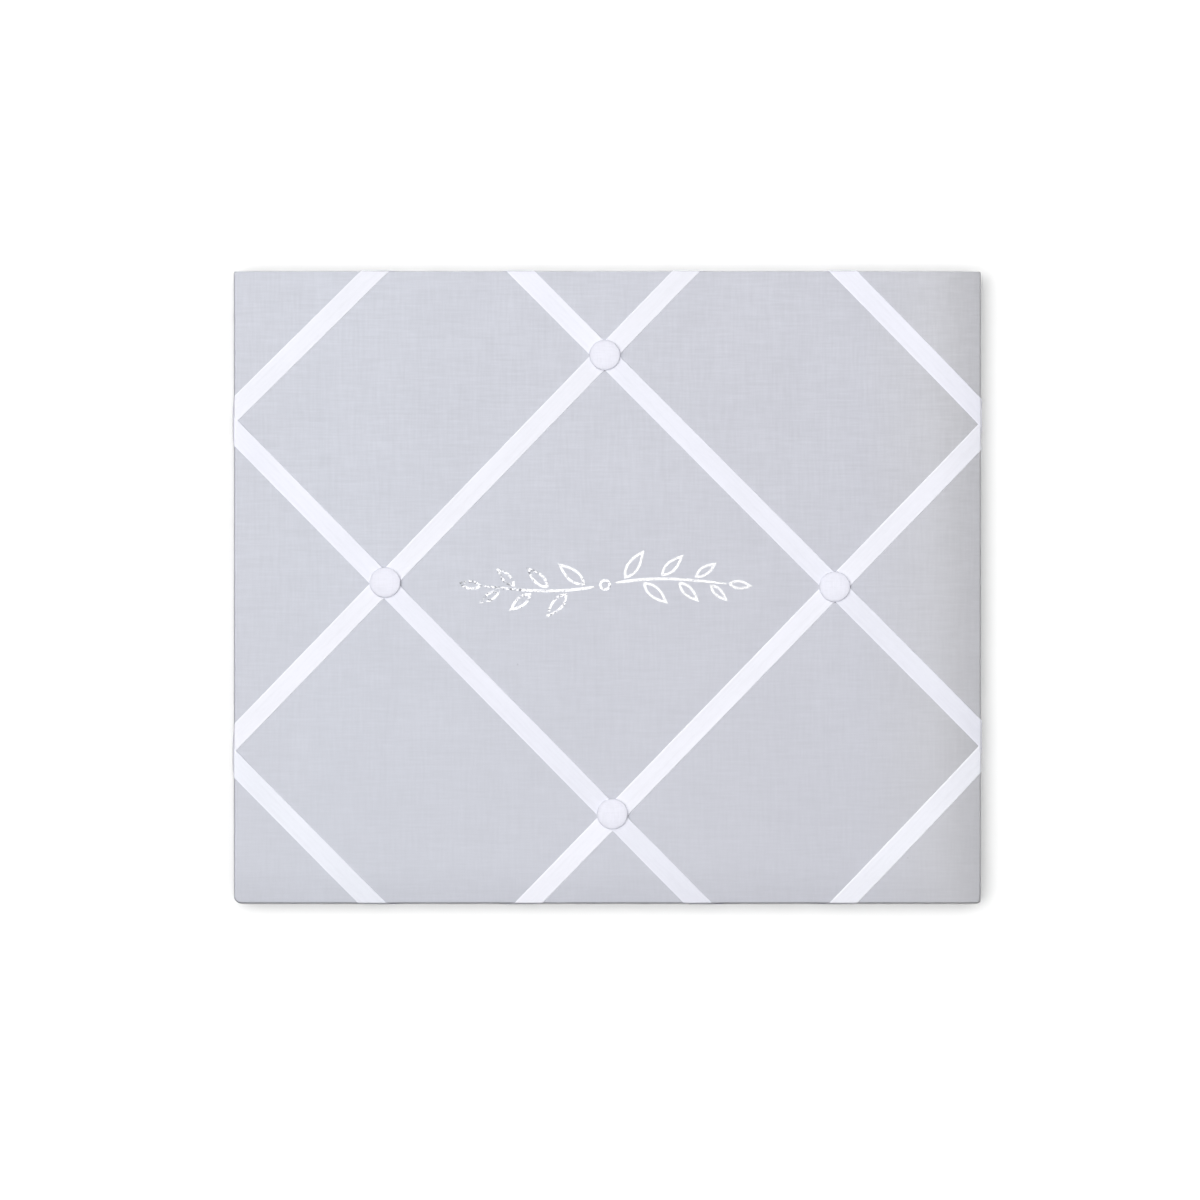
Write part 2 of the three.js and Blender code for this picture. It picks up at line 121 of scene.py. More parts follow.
def outward(points, faces):
    """The faces, turned so that a closed body's volume is positive."""
    p = np.asarray(points, float)
    v = 0.0
    for f in faces:
        for k in range(1, len(f) - 1):
            v += np.dot(p[f[0]], np.cross(p[f[k]], p[f[k + 1]]))
    return faces if v > 0 else [list(f)[::-1] for f in faces]


def grid_faces(rows, cols, close_cols=False, start=0):
    out = []
    for i in range(rows - 1):
        for j in range(cols if close_cols else cols - 1):
            k = (j + 1) % cols
            out.append((start + i * cols + j, start + i * cols + k, start + (i + 1) * cols + k, start + (i + 1) * cols + j))
    return out


def tube_faces(rows, cols, start=0):
    """Skin over closed loops, with both ends capped."""
    out = grid_faces(rows, cols, True, start)
    out.append([start + j for j in range(cols)][::-1])
    out.append([start + (rows - 1) * cols + j for j in range(cols)])
    return out


def from_curve(loops, depth, bevel, place, segments=2):
    """Points (mm) and faces of a flat plate with holes, drawn in a plane, with softened edges."""
    cu = bpy.data.curves.new("plate", "CURVE")
    cu.dimensions = "2D"
    cu.fill_mode = "BOTH"
    cu.extrude = (depth / 2 - bevel) * MM
    cu.bevel_depth = bevel * MM
    cu.bevel_resolution = segments
    cu.offset = -bevel * MM
    for loop in loops:
        s = cu.splines.new("POLY")
        s.points.add(len(loop) - 1)
        s.points.foreach_set("co", np.array([(x * MM, y * MM, 0, 1) for x, y in loop], float).ravel())
        s.use_cyclic_u = True
    ob = bpy.data.objects.new("plate", cu)
    bpy.context.scene.collection.objects.link(ob)
    bpy.context.view_layer.update()
    me = bpy.data.meshes.new_from_object(ob.evaluated_get(bpy.context.evaluated_depsgraph_get()))
    pts = [place(v.co.x / MM, v.co.y / MM, v.co.z / MM) for v in me.vertices]
    faces = [list(f.vertices) for f in me.polygons]
    bpy.data.objects.remove(ob)
    bpy.data.curves.remove(cu)
    bpy.data.meshes.remove(me)
    key, merged, back = {}, [], []
    for p in pts:
        k = tuple(np.round(p, 4))
        if k not in key:
            key[k] = len(merged)
            merged.append(p)
        back.append(key[k])
    clean = []
    for f in faces:
        g = [back[i] for i in f]
        g = [g[i] for i in range(len(g)) if g[i] != g[i - 1]]
        if len(set(g)) >= 3:
            clean.append(g)
    return np.array(merged), clean


def combine(ob, others, operation):
    """Boolean of a piece with helper pieces, made part of its mesh."""
    for o in others:
        m = ob.modifiers.new("cut", "BOOLEAN")
        m.object, m.operation, m.solver = o, operation, "EXACT"
    bpy.context.view_layer.update()
    made = bpy.data.meshes.new_from_object(ob.evaluated_get(bpy.context.evaluated_depsgraph_get()))
    ob.modifiers.clear()
    old = ob.data
    ob.data = made
    bpy.data.meshes.remove(old)
    for o in others:
        me = o.data
        bpy.data.objects.remove(o)
        bpy.data.meshes.remove(me)
    ob.data.polygons.foreach_set("use_smooth", [True] * len(ob.data.polygons))
    ob.data.set_sharp_from_angle(angle=math.radians(35))
    return ob


# ------------------------------------------------------------------ material helpers

def material(name):
    m = bpy.data.materials.new(name)
    m.use_nodes = True
    t = m.node_tree
    return m, t, next(n for n in t.nodes if n.type == "BSDF_PRINCIPLED")


def node(t, kind, values=None, **props):
    n = t.nodes.new("ShaderNode" + kind)
    for k, v in props.items():
        setattr(n, k, v)
    for k, v in (values or {}).items():
        if isinstance(v, bpy.types.NodeSocket):
            t.links.new(v, n.inputs[k])
        else:
            n.inputs[k].default_value = v
    return n


def coords(t, kind="Object"):
    return node(t, "TexCoord").outputs[kind]


def scaled(t, coord, scale, shift=(0, 0, 0)):
    return node(t, "Mapping", {"Vector": coord, "Scale": scale, "Location": shift}).outputs["Vector"]


def noise(t, coord, scale, detail=3.0, rough=0.55, shift=(0, 0, 0)):
    v = scaled(t, coord, scale, shift)
    return node(t, "TexNoise", {"Vector": v, "Scale": 1.0, "Detail": detail, "Roughness": rough}).outputs["Fac"]


def threads(t, coord, pitch, axis, warp=0.0):
    """Rounded threads side by side along one axis, pitch in metres."""
    return node(
        t,
        "TexWave",
        {"Vector": coord, "Scale": 2 * math.pi / (20 * pitch), "Distortion": warp, "Detail": 1.0, "Detail Scale": 0.4},
        bands_direction=axis,
    ).outputs["Fac"]


def calc(t, op, a, b=0.0, c=None):
    values = {0: a, 1: b}
    if c is not None:
        values[2] = c
    return node(t, "Math", values, operation=op).outputs[0]


def remap(t, value, lo, hi, to_lo, to_hi):
    return node(t, "MapRange", {"Value": value, "From Min": lo, "From Max": hi, "To Min": to_lo, "To Max": to_hi}).outputs["Result"]


def ramp(t, value, stops):
    n = node(t, "ValToRGB", {"Fac": value})
    e = n.color_ramp.elements
    while len(e) < len(stops):
        e.new(0.5)
    for k, (at, colour) in enumerate(stops):
        e[k].position = at
        e[k].color = (*colour, 1.0)
    return n.outputs["Color"]


def blend_colour(t, fac, a, b, kind="MIX"):
    n = node(t, "Mix", data_type="RGBA", blend_type=kind)
    for socket, v in ((n.inputs[0], fac), (n.inputs[6], a), (n.inputs[7], b)):
        if isinstance(v, bpy.types.NodeSocket):
            t.links.new(v, socket)
        else:
            socket.default_value = (*v, 1.0) if isinstance(v, tuple) else v
    return n.outputs[2]


def bump(t, height, strength, distance, normal=None):
    values = {"Height": height, "Strength": strength, "Distance": distance}
    if normal is not None:
        values["Normal"] = normal
    return node(t, "Bump", values).outputs["Normal"]


def shade(colour, k):
    return tuple(min(1.0, c * k) for c in colour)


# ------------------------------------------------------------------ materials

def linen(name, base, weave=0.55, contrast=1.0):
    """Plain weave with slubs: thick and thin places in the thread, along both directions."""
    m, t, s = material(name)
    c = coords(t)
    along_x = noise(t, c, (75, 820, 900), 2.5, 0.6)
    along_z = noise(t, c, (900, 820, 85), 2.5, 0.6, (3.1, 7.7, 1.3))
    long_x = noise(t, c, (22, 420, 520), 2.0, 0.5, (9.0, 2.0, 4.0))
    long_z = noise(t, c, (480, 420, 24), 2.0, 0.5, (1.0, 8.0, 6.0))
    cloudy = noise(t, c, (26, 26, 26), 3.0, 0.5, (5.5, 0.3, 2.2))
    yarn = calc(t, "ADD", calc(t, "MULTIPLY", along_x, 0.38), calc(t, "MULTIPLY", along_z, 0.28))
    yarn = calc(t, "ADD", yarn, calc(t, "MULTIPLY", long_x, 0.17))
    yarn = calc(t, "ADD", yarn, calc(t, "MULTIPLY", long_z, 0.11))
    yarn = calc(t, "ADD", yarn, calc(t, "MULTIPLY", cloudy, 0.16))
    # The slubs are plainer towards the bottom of the piece.
    place = node(t, "SeparateXYZ", {"Vector": c})
    plain = remap(t, place.outputs["Z"], -0.110, 0.090, 0.62, 1.04)
    yarn = calc(t, "MULTIPLY_ADD", calc(t, "SUBTRACT", yarn, 0.55), plain, 0.55)
    d = 0.075 * contrast
    tint = ramp(t, yarn, [(0.36, shade(base, 1 - d)), (0.55, base), (0.72, shade(base, 1 + d))])
    # Small dark flecks in the yarn, few and far between.
    v = node(t, "TexVoronoi", {"Vector": scaled(t, c, (46, 46, 46)), "Scale": 1.0})
    fleck = calc(t, "LESS_THAN", v.outputs["Distance"], 0.028)
    rare = calc(t, "GREATER_THAN", node(t, "SeparateColor", {"Color": v.outputs["Color"]}).outputs[0], 0.80)
    tint = blend_colour(t, calc(t, "MULTIPLY", calc(t, "MULTIPLY", fleck, rare), 0.5), tint, shade(base, 0.72))
    # Painted light: a trace warmer towards the right-hand edge, standing in for warmer light falling there.
    warm_light_tint = remap(t, place.outputs["X"], 0.125, 0.172, 0.0, 1.0)
    tint = blend_colour(t, warm_light_tint, tint, (0.995, 0.985, 0.950), "MULTIPLY")
    # Painted shade: a trace darker and cooler towards the left-hand edge, standing in for the light falling off there.
    cool_shade = remap(t, place.outputs["X"], -0.190, 0.060, 1.0, 0.0)
    tint = blend_colour(t, cool_shade, tint, (0.980, 0.996, 0.998), "MULTIPLY")
    # Painted shade, a little deeper over the last few centimetres at the left.
    dark = remap(t, place.outputs["X"], -0.185, -0.140, 1.0, 0.0)
    tint = blend_colour(t, dark, tint, (0.984, 0.976, 0.974), "MULTIPLY")
    # Painted shade: a little darker along the right-hand and bottom edges, where the padding falls away from the light.
    edge_shade = calc(t, "MAXIMUM", remap(t, place.outputs["X"], 0.160, 0.185, 0.0, 1.0), remap(t, place.outputs["Z"], -0.1375, -0.1565, 0.0, 0.45))
    s.inputs["Base Color"].default_value = (*base, 1)
    t.links.new(blend_colour(t, edge_shade, tint, (0.910, 0.910, 0.910), "MULTIPLY"), s.inputs["Base Color"])
    over = calc(t, "MULTIPLY", threads(t, c, weave * MM, "X", 0.6), threads(t, c, weave * MM, "Z", 0.6))
    under = threads(t, c, weave * MM, "Y", 0.6)
    height = calc(t, "ADD", calc(t, "MULTIPLY", over, 0.5), calc(t, "MULTIPLY", under, 0.15))
    height = calc(t, "ADD", height, calc(t, "MULTIPLY", along_x, 0.7))
    height = calc(t, "ADD", height, calc(t, "MULTIPLY", along_z, 0.6))
    t.links.new(bump(t, height, 0.35, 0.00012), s.inputs["Normal"])
    t.links.new(remap(t, yarn, 0.35, 0.75, 0.94, 0.80), s.inputs["Roughness"])
    s.inputs["Specular IOR Level"].default_value = 0.18
    s.inputs["Sheen Weight"].default_value = 0.06
    s.inputs["Sheen Roughness"].default_value = 0.5
    return m


def satin(name, base):
    """Ribbon: fine cross ribs, a firmer selvedge down each side, soft gloss."""
    m, t, s = material(name)
    uv = coords(t, "UV")
    sep = node(t, "SeparateXYZ", {"Vector": uv})
    across, along = sep.outputs["X"], sep.outputs["Y"]
    side = calc(t, "ABSOLUTE", across)
    selvedge = remap(t, side, 0.0040, 0.0046, 0.0, 1.0)
    fine = noise(t, uv, (900, 260, 1), 2.0, 0.5)
    streak = noise(t, uv, (700, 14, 1), 2.0, 0.5, (2, 5, 0))
    cloudy = noise(t, uv, (60, 30, 1), 2.0, 0.5, (7, 1, 0))
    mixv = calc(t, "ADD", calc(t, "MULTIPLY", fine, 0.3), calc(t, "MULTIPLY", streak, 0.4))
    mixv = calc(t, "ADD", mixv, calc(t, "MULTIPLY", cloudy, 0.3))
    tint = ramp(t, mixv, [(0.36, shade(base, 0.965)), (0.52, base), (0.68, shade(base, 1.02))])
    t.links.new(blend_colour(t, calc(t, "MULTIPLY", selvedge, 0.8), tint, shade(base, 1.035)), s.inputs["Base Color"])
    ribs = threads(t, node(t, "CombineXYZ", {"X": along, "Y": across}).outputs["Vector"], 0.00048, "X", 0.3)
    height = calc(t, "ADD", calc(t, "MULTIPLY", ribs, 0.5), calc(t, "MULTIPLY", fine, 0.5))
    t.links.new(bump(t, height, 0.18, 0.00008), s.inputs["Normal"])
    t.links.new(remap(t, mixv, 0.36, 0.68, 0.62, 0.48), s.inputs["Roughness"])
    s.inputs["Specular IOR Level"].default_value = 0.22
    s.inputs["Sheen Weight"].default_value = 0.05
    s.inputs["Sheen Roughness"].default_value = 0.35
    return m


def cotton(name, base):
    """Fine plain weave pulled tight over the button's dome."""
    m, t, s = material(name)
    c = coords(t)
    fine = noise(t, c, (420, 420, 420), 2.0, 0.55)
    yarn_x = noise(t, c, (140, 900, 1500), 2.0, 0.5)
    yarn_z = noise(t, c, (1500, 900, 140), 2.0, 0.5, (4, 4, 4))
    v = calc(t, "ADD", calc(t, "MULTIPLY", yarn_x, 0.4), calc(t, "MULTIPLY", yarn_z, 0.4))
    v = calc(t, "ADD", v, calc(t, "MULTIPLY", fine, 0.2))
    t.links.new(ramp(t, v, [(0.36, shade(base, 0.955)), (0.52, base), (0.68, shade(base, 1.025))]), s.inputs["Base Color"])
    weave = calc(t, "MULTIPLY", threads(t, c, 0.00042, "X", 0.4), threads(t, c, 0.00042, "Z", 0.4))
    t.links.new(bump(t, calc(t, "ADD", weave, calc(t, "MULTIPLY", v, 0.8)), 0.22, 0.00009), s.inputs["Normal"])
    t.links.new(remap(t, v, 0.35, 0.7, 0.80, 0.64), s.inputs["Roughness"])
    s.inputs["Specular IOR Level"].default_value = 0.2
    s.inputs["Sheen Weight"].default_value = 0.06
    return m


def steel(name, base, rough=(0.24, 0.42)):
    """Plated steel: cloudy plating, fine drawn scratches, dull at the edges."""
    m, t, s = material(name)
    c = coords(t)
    cloud = noise(t, c, (240, 240, 240), 4.0, 0.6)
    drawn = noise(t, c, (1800, 350, 220), 2.0, 0.6, (3, 1, 2))
    t.links.new(ramp(t, cloud, [(0.3, shade(base, 0.82)), (0.52, base), (0.72, (base[0] * 1.08, base[1] * 1.06, base[2] * 1.0))]), s.inputs["Base Color"])
    t.links.new(remap(t, calc(t, "ADD", calc(t, "MULTIPLY", cloud, 0.5), calc(t, "MULTIPLY", drawn, 0.5)), 0.35, 0.65, rough[0], rough[1]), s.inputs["Roughness"])
    t.links.new(bump(t, drawn, 0.12, 0.00003), s.inputs["Normal"])
    s.inputs["Metallic"].default_value = 1.0
    return m


def greyboard(name, base):
    """Recycled card: short fibres, pale and dark specks, a scuffed face."""
    m, t, s = material(name)
    c = coords(t)
    fibre = noise(t, c, (700, 700, 240), 3.0, 0.65)
    fibre2 = noise(t, c, (230, 700, 760), 3.0, 0.65, (3, 6, 1))
    cloud = noise(t, c, (22, 22, 22), 4.0, 0.55, (8, 2, 5))
    v = calc(t, "ADD", calc(t, "MULTIPLY", fibre, 0.35), calc(t, "MULTIPLY", fibre2, 0.35))
    v = calc(t, "ADD", v, calc(t, "MULTIPLY", cloud, 0.30))
    tint = ramp(t, v, [(0.34, shade(base, 0.80)), (0.50, base), (0.68, shade(base, 1.22))])
    vor = node(t, "TexVoronoi", {"Vector": scaled(t, c, (300, 300, 300)), "Scale": 1.0})
    chance = node(t, "SeparateColor", {"Color": vor.outputs["Color"]})
    near = calc(t, "LESS_THAN", vor.outputs["Distance"], 0.17)
    dark = calc(t, "MULTIPLY", near, calc(t, "GREATER_THAN", chance.outputs[0], 0.86))
    pale = calc(t, "MULTIPLY", near, calc(t, "GREATER_THAN", chance.outputs[1], 0.84))
    tint = blend_colour(t, calc(t, "MULTIPLY", dark, 0.55), tint, shade(base, 0.45))
    tint = blend_colour(t, calc(t, "MULTIPLY", pale, 0.5), tint, shade(base, 1.6))
    scuff = remap(t, noise(t, c, (9, 40, 120), 5.0, 0.7, (1, 9, 3)), 0.60, 0.74, 0.0, 0.35)
    tint = blend_colour(t, scuff, tint, shade(base, 1.35))
    t.links.new(tint, s.inputs["Base Color"])
    t.links.new(bump(t, calc(t, "ADD", v, calc(t, "MULTIPLY", dark, 0.1)), 0.35, 0.00012), s.inputs["Normal"])
    t.links.new(remap(t, v, 0.35, 0.68, 0.95, 0.80), s.inputs["Roughness"])
    s.inputs["Specular IOR Level"].default_value = 0.25
    return m


def fibreboard(name, base):
    m, t, s = material(name)
    c = coords(t)
    fine = noise(t, c, (500, 1600, 500), 4.0, 0.65)
    layer = noise(t, c, (30, 1400, 30), 2.0, 0.5, (2, 2, 2))
    v = calc(t, "ADD", calc(t, "MULTIPLY", fine, 0.6), calc(t, "MULTIPLY", layer, 0.4))
    t.links.new(ramp(t, v, [(0.34, shade(base, 0.72)), (0.5, base), (0.68, shade(base, 1.25))]), s.inputs["Base Color"])
    t.links.new(bump(t, v, 0.4, 0.0002), s.inputs["Normal"])
    t.links.new(remap(t, v, 0.35, 0.68, 0.92, 0.78), s.inputs["Roughness"])
    return m


def wadding(name, base):
    m, t, s = material(name)
    c = coords(t)
    lofty = noise(t, c, (160, 160, 160), 5.0, 0.7)
    strand = noise(t, c, (90, 900, 900), 3.0, 0.6, (1, 4, 2))
    v = calc(t, "ADD", calc(t, "MULTIPLY", lofty, 0.55), calc(t, "MULTIPLY", strand, 0.45))
    t.links.new(ramp(t, v, [(0.34, shade(base, 0.86)), (0.52, base), (0.68, shade(base, 1.06))]), s.inputs["Base Color"])
    t.links.new(bump(t, v, 0.8, 0.0008), s.inputs["Normal"])
    t.links.new(remap(t, v, 0.35, 0.68, 1.0, 0.9), s.inputs["Roughness"])
    s.inputs["Sheen Weight"].default_value = 0.2
    return m


def twine_mat(name, base):
    m, t, s = material(name)
    c = coords(t)
    ply = threads(t, node(t, "Mapping", {"Vector": c, "Rotation": (0.6, 0.0, 0.6)}).outputs["Vector"], 0.0007, "Y", 0.4)
    hair = noise(t, c, (2600, 900, 2600), 2.0, 0.6)
    v = calc(t, "ADD", calc(t, "MULTIPLY", ply, 0.5), calc(t, "MULTIPLY", hair, 0.5))
    t.links.new(ramp(t, v, [(0.2, shade(base, 0.75)), (0.8, shade(base, 1.06))]), s.inputs["Base Color"])
    t.links.new(bump(t, v, 0.6, 0.00015), s.inputs["Normal"])
    t.links.new(remap(t, hair, 0.3, 0.7, 0.9, 0.75), s.inputs["Roughness"])
    return m


def plastic(name, base):
    m, t, s = material(name)
    c = coords(t)
    grain = noise(t, c, (1500, 1500, 1500), 2.0, 0.5)
    cloud = noise(t, c, (160, 160, 160), 3.0, 0.5, (3, 3, 3))
    t.links.new(ramp(t, cloud, [(0.3, shade(base, 0.93)), (0.7, shade(base, 1.04))]), s.inputs["Base Color"])
    t.links.new(bump(t, grain, 0.15, 0.00005), s.inputs["Normal"])
    t.links.new(remap(t, cloud, 0.3, 0.7, 0.5, 0.38), s.inputs["Roughness"])
    return m


def foil(name, base, cloth):
    """Silver foil pressed into cloth: it took well at the right, and came away in flecks towards the left."""
    m, t, s = material(name)
    c = coords(t)
    fine = noise(t, c, (1150, 1150, 1150), 2.0, 0.6)
    patch = noise(t, c, (210, 210, 210), 2.0, 0.5, (4, 1, 7))
    took = calc(t, "ADD", calc(t, "MULTIPLY", fine, 0.6), calc(t, "MULTIPLY", patch, 0.4))
    poor = remap(t, node(t, "SeparateXYZ", {"Vector": c}).outputs["X"], -0.070, 0.030, 0.165, -0.03)
    kept = remap(t, calc(t, "SUBTRACT", took, poor), 0.345, 0.375, 0.0, 1.0)
    bare = ramp(t, noise(t, c, (900, 900, 900), 2.0, 0.6, (2, 8, 5)), [(0.38, shade(cloth, 0.36)), (0.46, shade(cloth, 0.92)), (0.70, shade(cloth, 1.04))])
    bright = ramp(t, fine, [(0.30, shade(base, 0.86)), (0.60, base)])
    t.links.new(blend_colour(t, kept, bare, bright), s.inputs["Base Color"])
    t.links.new(calc(t, "MULTIPLY", kept, 0.8), s.inputs["Metallic"])
    t.links.new(remap(t, kept, 0.0, 1.0, 0.90, 0.42), s.inputs["Roughness"])
    weave = calc(t, "MULTIPLY", threads(t, c, 0.00055, "X", 0.6), threads(t, c, 0.00055, "Z", 0.6))
    t.links.new(bump(t, calc(t, "ADD", weave, fine), 0.3, 0.0001), s.inputs["Normal"])
    return m


CLOTH = linen("grey_linen_cloth", (0.602, 0.610, 0.671))
# Each length of ribbon gets its own copy of the white satin, lighter or darker: painted light and shade for how
# brightly that length is lit.
RIBBON_LIT_TONE = {
    "corner_top_left": (0.820, 0.826, 0.892), "rising_upper": (0.842, 0.846, 0.913), "rising_lower": (0.888, 0.891, 0.962), "corner_bottom_right": (0.903, 0.911, 0.980),
    "corner_bottom_left": (0.814, 0.829, 0.902), "falling_lower": (0.823, 0.830, 0.912), "falling_upper": (0.847, 0.853, 0.936), "corner_top_right": (0.871, 0.875, 0.962),
}
SATIN = {k: satin(f"white_satin_{k}", c) for k, c in RIBBON_LIT_TONE.items()}
CAP_CLOTH = cotton("white_cotton_button", (0.830, 0.830, 0.915))
ZINC = steel("zinc_plated_steel", (0.70, 0.71, 0.72))
BUTTON_STEEL = steel("button_steel_plain", (0.62, 0.62, 0.63), (0.3, 0.5))
CARD = greyboard("grey_backing_card", (0.285, 0.278, 0.262))
BOARD = fibreboard("brown_fibreboard", (0.40, 0.27, 0.155))
PAD = wadding("white_wadding", (0.83, 0.82, 0.79))
TWINE = twine_mat("cream_twine", (0.78, 0.73, 0.62))
WASHER = plastic("washer_plastic_white", (0.66, 0.65, 0.62))
FOIL = foil("silver_foil", (0.70, 0.70, 0.715), (0.598, 0.612, 0.671))


# ------------------------------------------------------------------ the padded front as a surface

def runs():
    for name, (over, start, end, via) in RIBBONS.items():
        pts = []
        for side, v in (start, end):
            n, t, half = SIDES[side]
            pts.append(np.array([n[0] * half + t[0] * v, n[1] * half + t[1] * v]))
        yield name, over, start[0], end[0], pts[0], pts[1], via


RUN_LINES = []
for _, _, _, _, p, q, _ in runs():
    d = (q - p) / np.linalg.norm(q - p)
    RUN_LINES.append((p, d))


def smooth(lo, hi, v):
    k = np.clip((v - lo) / (hi - lo), 0, 1)
    return k * k * (3 - 2 * k)


def fall(e, key):
    depth, width = FALL[key]
    return depth * np.clip(1 - e / width, 0, 1) ** 2


def corner_in(x, z, least):
    """Distance in from the outline, with its corners rounded."""
    ex, ez = A - np.abs(x), B - np.abs(z)
    r = np.zeros_like(ex)
    for (sx, sz), radius in CORNER.items():
        here = (np.where(x >= 0, 1, -1) == sx) & (np.where(z >= 0, 1, -1) == sz)
        r = np.where(here, max(radius, least), r)
    both = (ex < r) & (ez < r)
    return np.where(both, r - np.hypot(r - ex, r - ez), np.minimum(ex, ez))


def roll(x, z):
    """The turn at the edge; at a corner it passes from one side's to the other's."""
    e = corner_in(x, z, SOFT_CORNER)
    wx, wz = 1 / (np.maximum(A - np.abs(x), 0) + 0.2), 1 / (np.maximum(B - np.abs(z), 0) + 0.2)
    r = (np.where(x < 0, ROLL["left"], ROLL["right"]) * wx + np.where(z < 0, ROLL["bottom"], ROLL["top"]) * wz) / (wx + wz)
    lean = (np.where(x < 0, LEAN["left"], LEAN["right"]) * wx + np.where(z < 0, LEAN["bottom"], LEAN["top"]) * wz) / (wx + wz)
    q = np.clip((r - e) / r, 0, 1)
    wide = (np.where(x < 0, BEVEL["left"], BEVEL["right"]) * wx + np.where(z < 0, BEVEL["bottom"], BEVEL["top"]) * wz) / (wx + wz)
    bevel = 0.1 * np.log1p(np.exp(np.clip((wide - e) / 0.1, -40, 40)))
    return 1.15 * r * (1 - np.sqrt(np.maximum(0, 1 - q * q))) + lean * bevel + np.where(e < 0, -e * 2.0, 0)


def front(x, z):
    """Y of the cloth's outer face over the front."""
    x, z = np.asarray(x, float), np.asarray(z, float)
    y = FRONT_Y + np.hypot(fall(x + A, "left") + fall(A - x, "right"), fall(B - z, "top") + fall(z + B, "bottom"))
    y = y + roll(x, z)
    clear = np.full(np.shape(x), 99.0)
    for p, d in RUN_LINES:
        clear = np.minimum(clear, np.abs((x - p[0]) * -d[1] + (z - p[1]) * d[0]) - RIBBON_W / 2)
    edge = np.minimum(A - np.abs(x), B - np.abs(z))
    y = y - 0.16 * smooth(0, 11, clear) * smooth(3, 20, edge)
    wave = np.sin(x / 23.0 + 0.6) * np.sin(z / 19.0 + 1.1) + 0.6 * np.sin(x / 11.0 - z / 14.0) + 0.5 * np.sin(x / 37.0 + z / 31.0 + 2.0)
    return y + 0.022 * wave * smooth(0, 12, edge)


# ------------------------------------------------------------------ cloth cover

NEAR = [0, 0.05, 0.16, 0.34, 0.5, 0.62, 0.74, 0.9, 1.08, 1.22, 1.38, 1.75, 2.3, 3.0, 4.0, 5.2, 6.7, 8.5, 10.4]


def lines(half, step, near=NEAR):
    inner = half - near[-1]
    n = max(2, int(round(2 * inner / step)))
    mid = np.linspace(-inner, inner, n + 1)[1:-1]
    return np.concatenate([[-half + e for e in near], mid, [half - e for e in near[::-1]]])


def rounded_plan(xs, zs, corner, a, b):
    """Grid of plan points whose outer corners follow the outline's rounding."""
    X, Z = np.meshgrid(xs, zs, indexing="ij")
    for (sx, sz), r in corner.items():
        px, pz = (sx * X - (a - r)) / r, (sz * Z - (b - r)) / r
        m = (px > 0) & (pz > 0)
        qx = px * np.sqrt(np.maximum(0, 1 - np.clip(pz, 0, 1) ** 2 / 2))
        qz = pz * np.sqrt(np.maximum(0, 1 - np.clip(px, 0, 1) ** 2 / 2))
        X = np.where(m, sx * (a - r + r * qx), X)
        Z = np.where(m, sz * (b - r + r * qz), Z)
    return X, Z


def rim_walk(nx, nz):
    """Grid indices once round the rim, and which side each belongs to."""
    walk = [(i, 0, "bottom") for i in range(nx - 1)]
    walk += [(nx - 1, j, "right") for j in range(nz - 1)]
    walk += [(i, nz - 1, "top") for i in range(nx - 1, 0, -1)]
    walk += [(0, j, "left") for j in range(nz - 1, 0, -1)]
    return walk


def inset_point(x, z, e):
    """A point of the outline moved in by e, its corner arcs shrinking to a tight mitre."""
    sx, sz = (1 if x >= 0 else -1), (1 if z >= 0 else -1)
    r = CORNER[(sx, sz)]
    k = max(r - e, 0.25)
    ax, az = abs(x), abs(z)
    if ax > A - r and az > B - r:
        t = math.atan2(az - (B - r), ax - (A - r))
        return sx * (A - e - k + k * math.cos(t)), sz * (B - e - k + k * math.sin(t))
    if az <= B - r:  # on an upright side
        return sx * (A - e), z * (B - e - k) / (B - r)
    return x * (A - e - k) / (A - r), sz * (B - e)


def make_cover():
    xs, zs = lines(A, 2.2), lines(B, 2.2)
    nx, nz = len(xs), len(zs)
    X, Z = rounded_plan(xs, zs, CORNER, A, B)
    Y = front(X, Z)
    pts = np.stack([X, Y, Z], axis=-1).reshape(-1, 3).tolist()
    faces = grid_faces(nx, nz)
    walk = rim_walk(nx, nz)
    ring = [i * nz + j for i, j, _ in walk]
    rim = [pts[k] for k in ring]
    rows = [(0.0, 0.22), (0.0, 0.5), (0.0, 0.78), (0.0, 1.0)]
    back = [(0.1, -2.95), (0.35, -2.55), (0.75, -2.32), (1.2, HEM_Y), (2.2, HEM_Y), (4.0, HEM_Y), (7.5, HEM_Y), (14.0, HEM_Y), (HEM, HEM_Y)]
    last = ring
    for step in [("side", k) for _, k in rows] + [("back", k) for k in back]:
        start = len(pts)
        for (x, y, z), (_, _, side) in zip(rim, walk):
            if step[0] == "side":
                pull = 0.10 * math.sin(math.pi * step[1])  # the cloth is drawn in a little over the core's edge
                px, pz = inset_point(x, z, pull)
                pts.append([px, y + (-3.4 - y) * step[1], pz])
            else:
                e, yy = step[1]
                px, pz = inset_point(x, z, e)
                # Folded corners: the top and bottom hems lie over the upright ones.
                if side in ("top", "bottom") and e > 0.9:
                    yy += 0.42 * (1 - float(smooth(16, 30, A - abs(px))))
                pts.append([px, yy, pz])
        n = len(ring)
        for k in range(n):
            m = (k + 1) % n
            faces.append((last[k], last[m], start + m, start + k))
        last = [start + k for k in range(n)]
    ob = piece("cover_cloth", pts, faces, CLOTH)
    me = ob.data
    # The cloth's outer face looks out of the front.
    if me.polygons[(nx // 2) * (nz - 1) + nz // 2].normal.y > 0:
        me.flip_normals()
    s = ob.modifiers.new("thickness", "SOLIDIFY")
    s.thickness, s.offset, s.use_even_offset, s.use_rim = CLOTH_T * MM, -1.0, False, True
    return ob


cover = make_cover()
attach(cover, "board")
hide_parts("fabric_cover")


# ------------------------------------------------------------------ padding

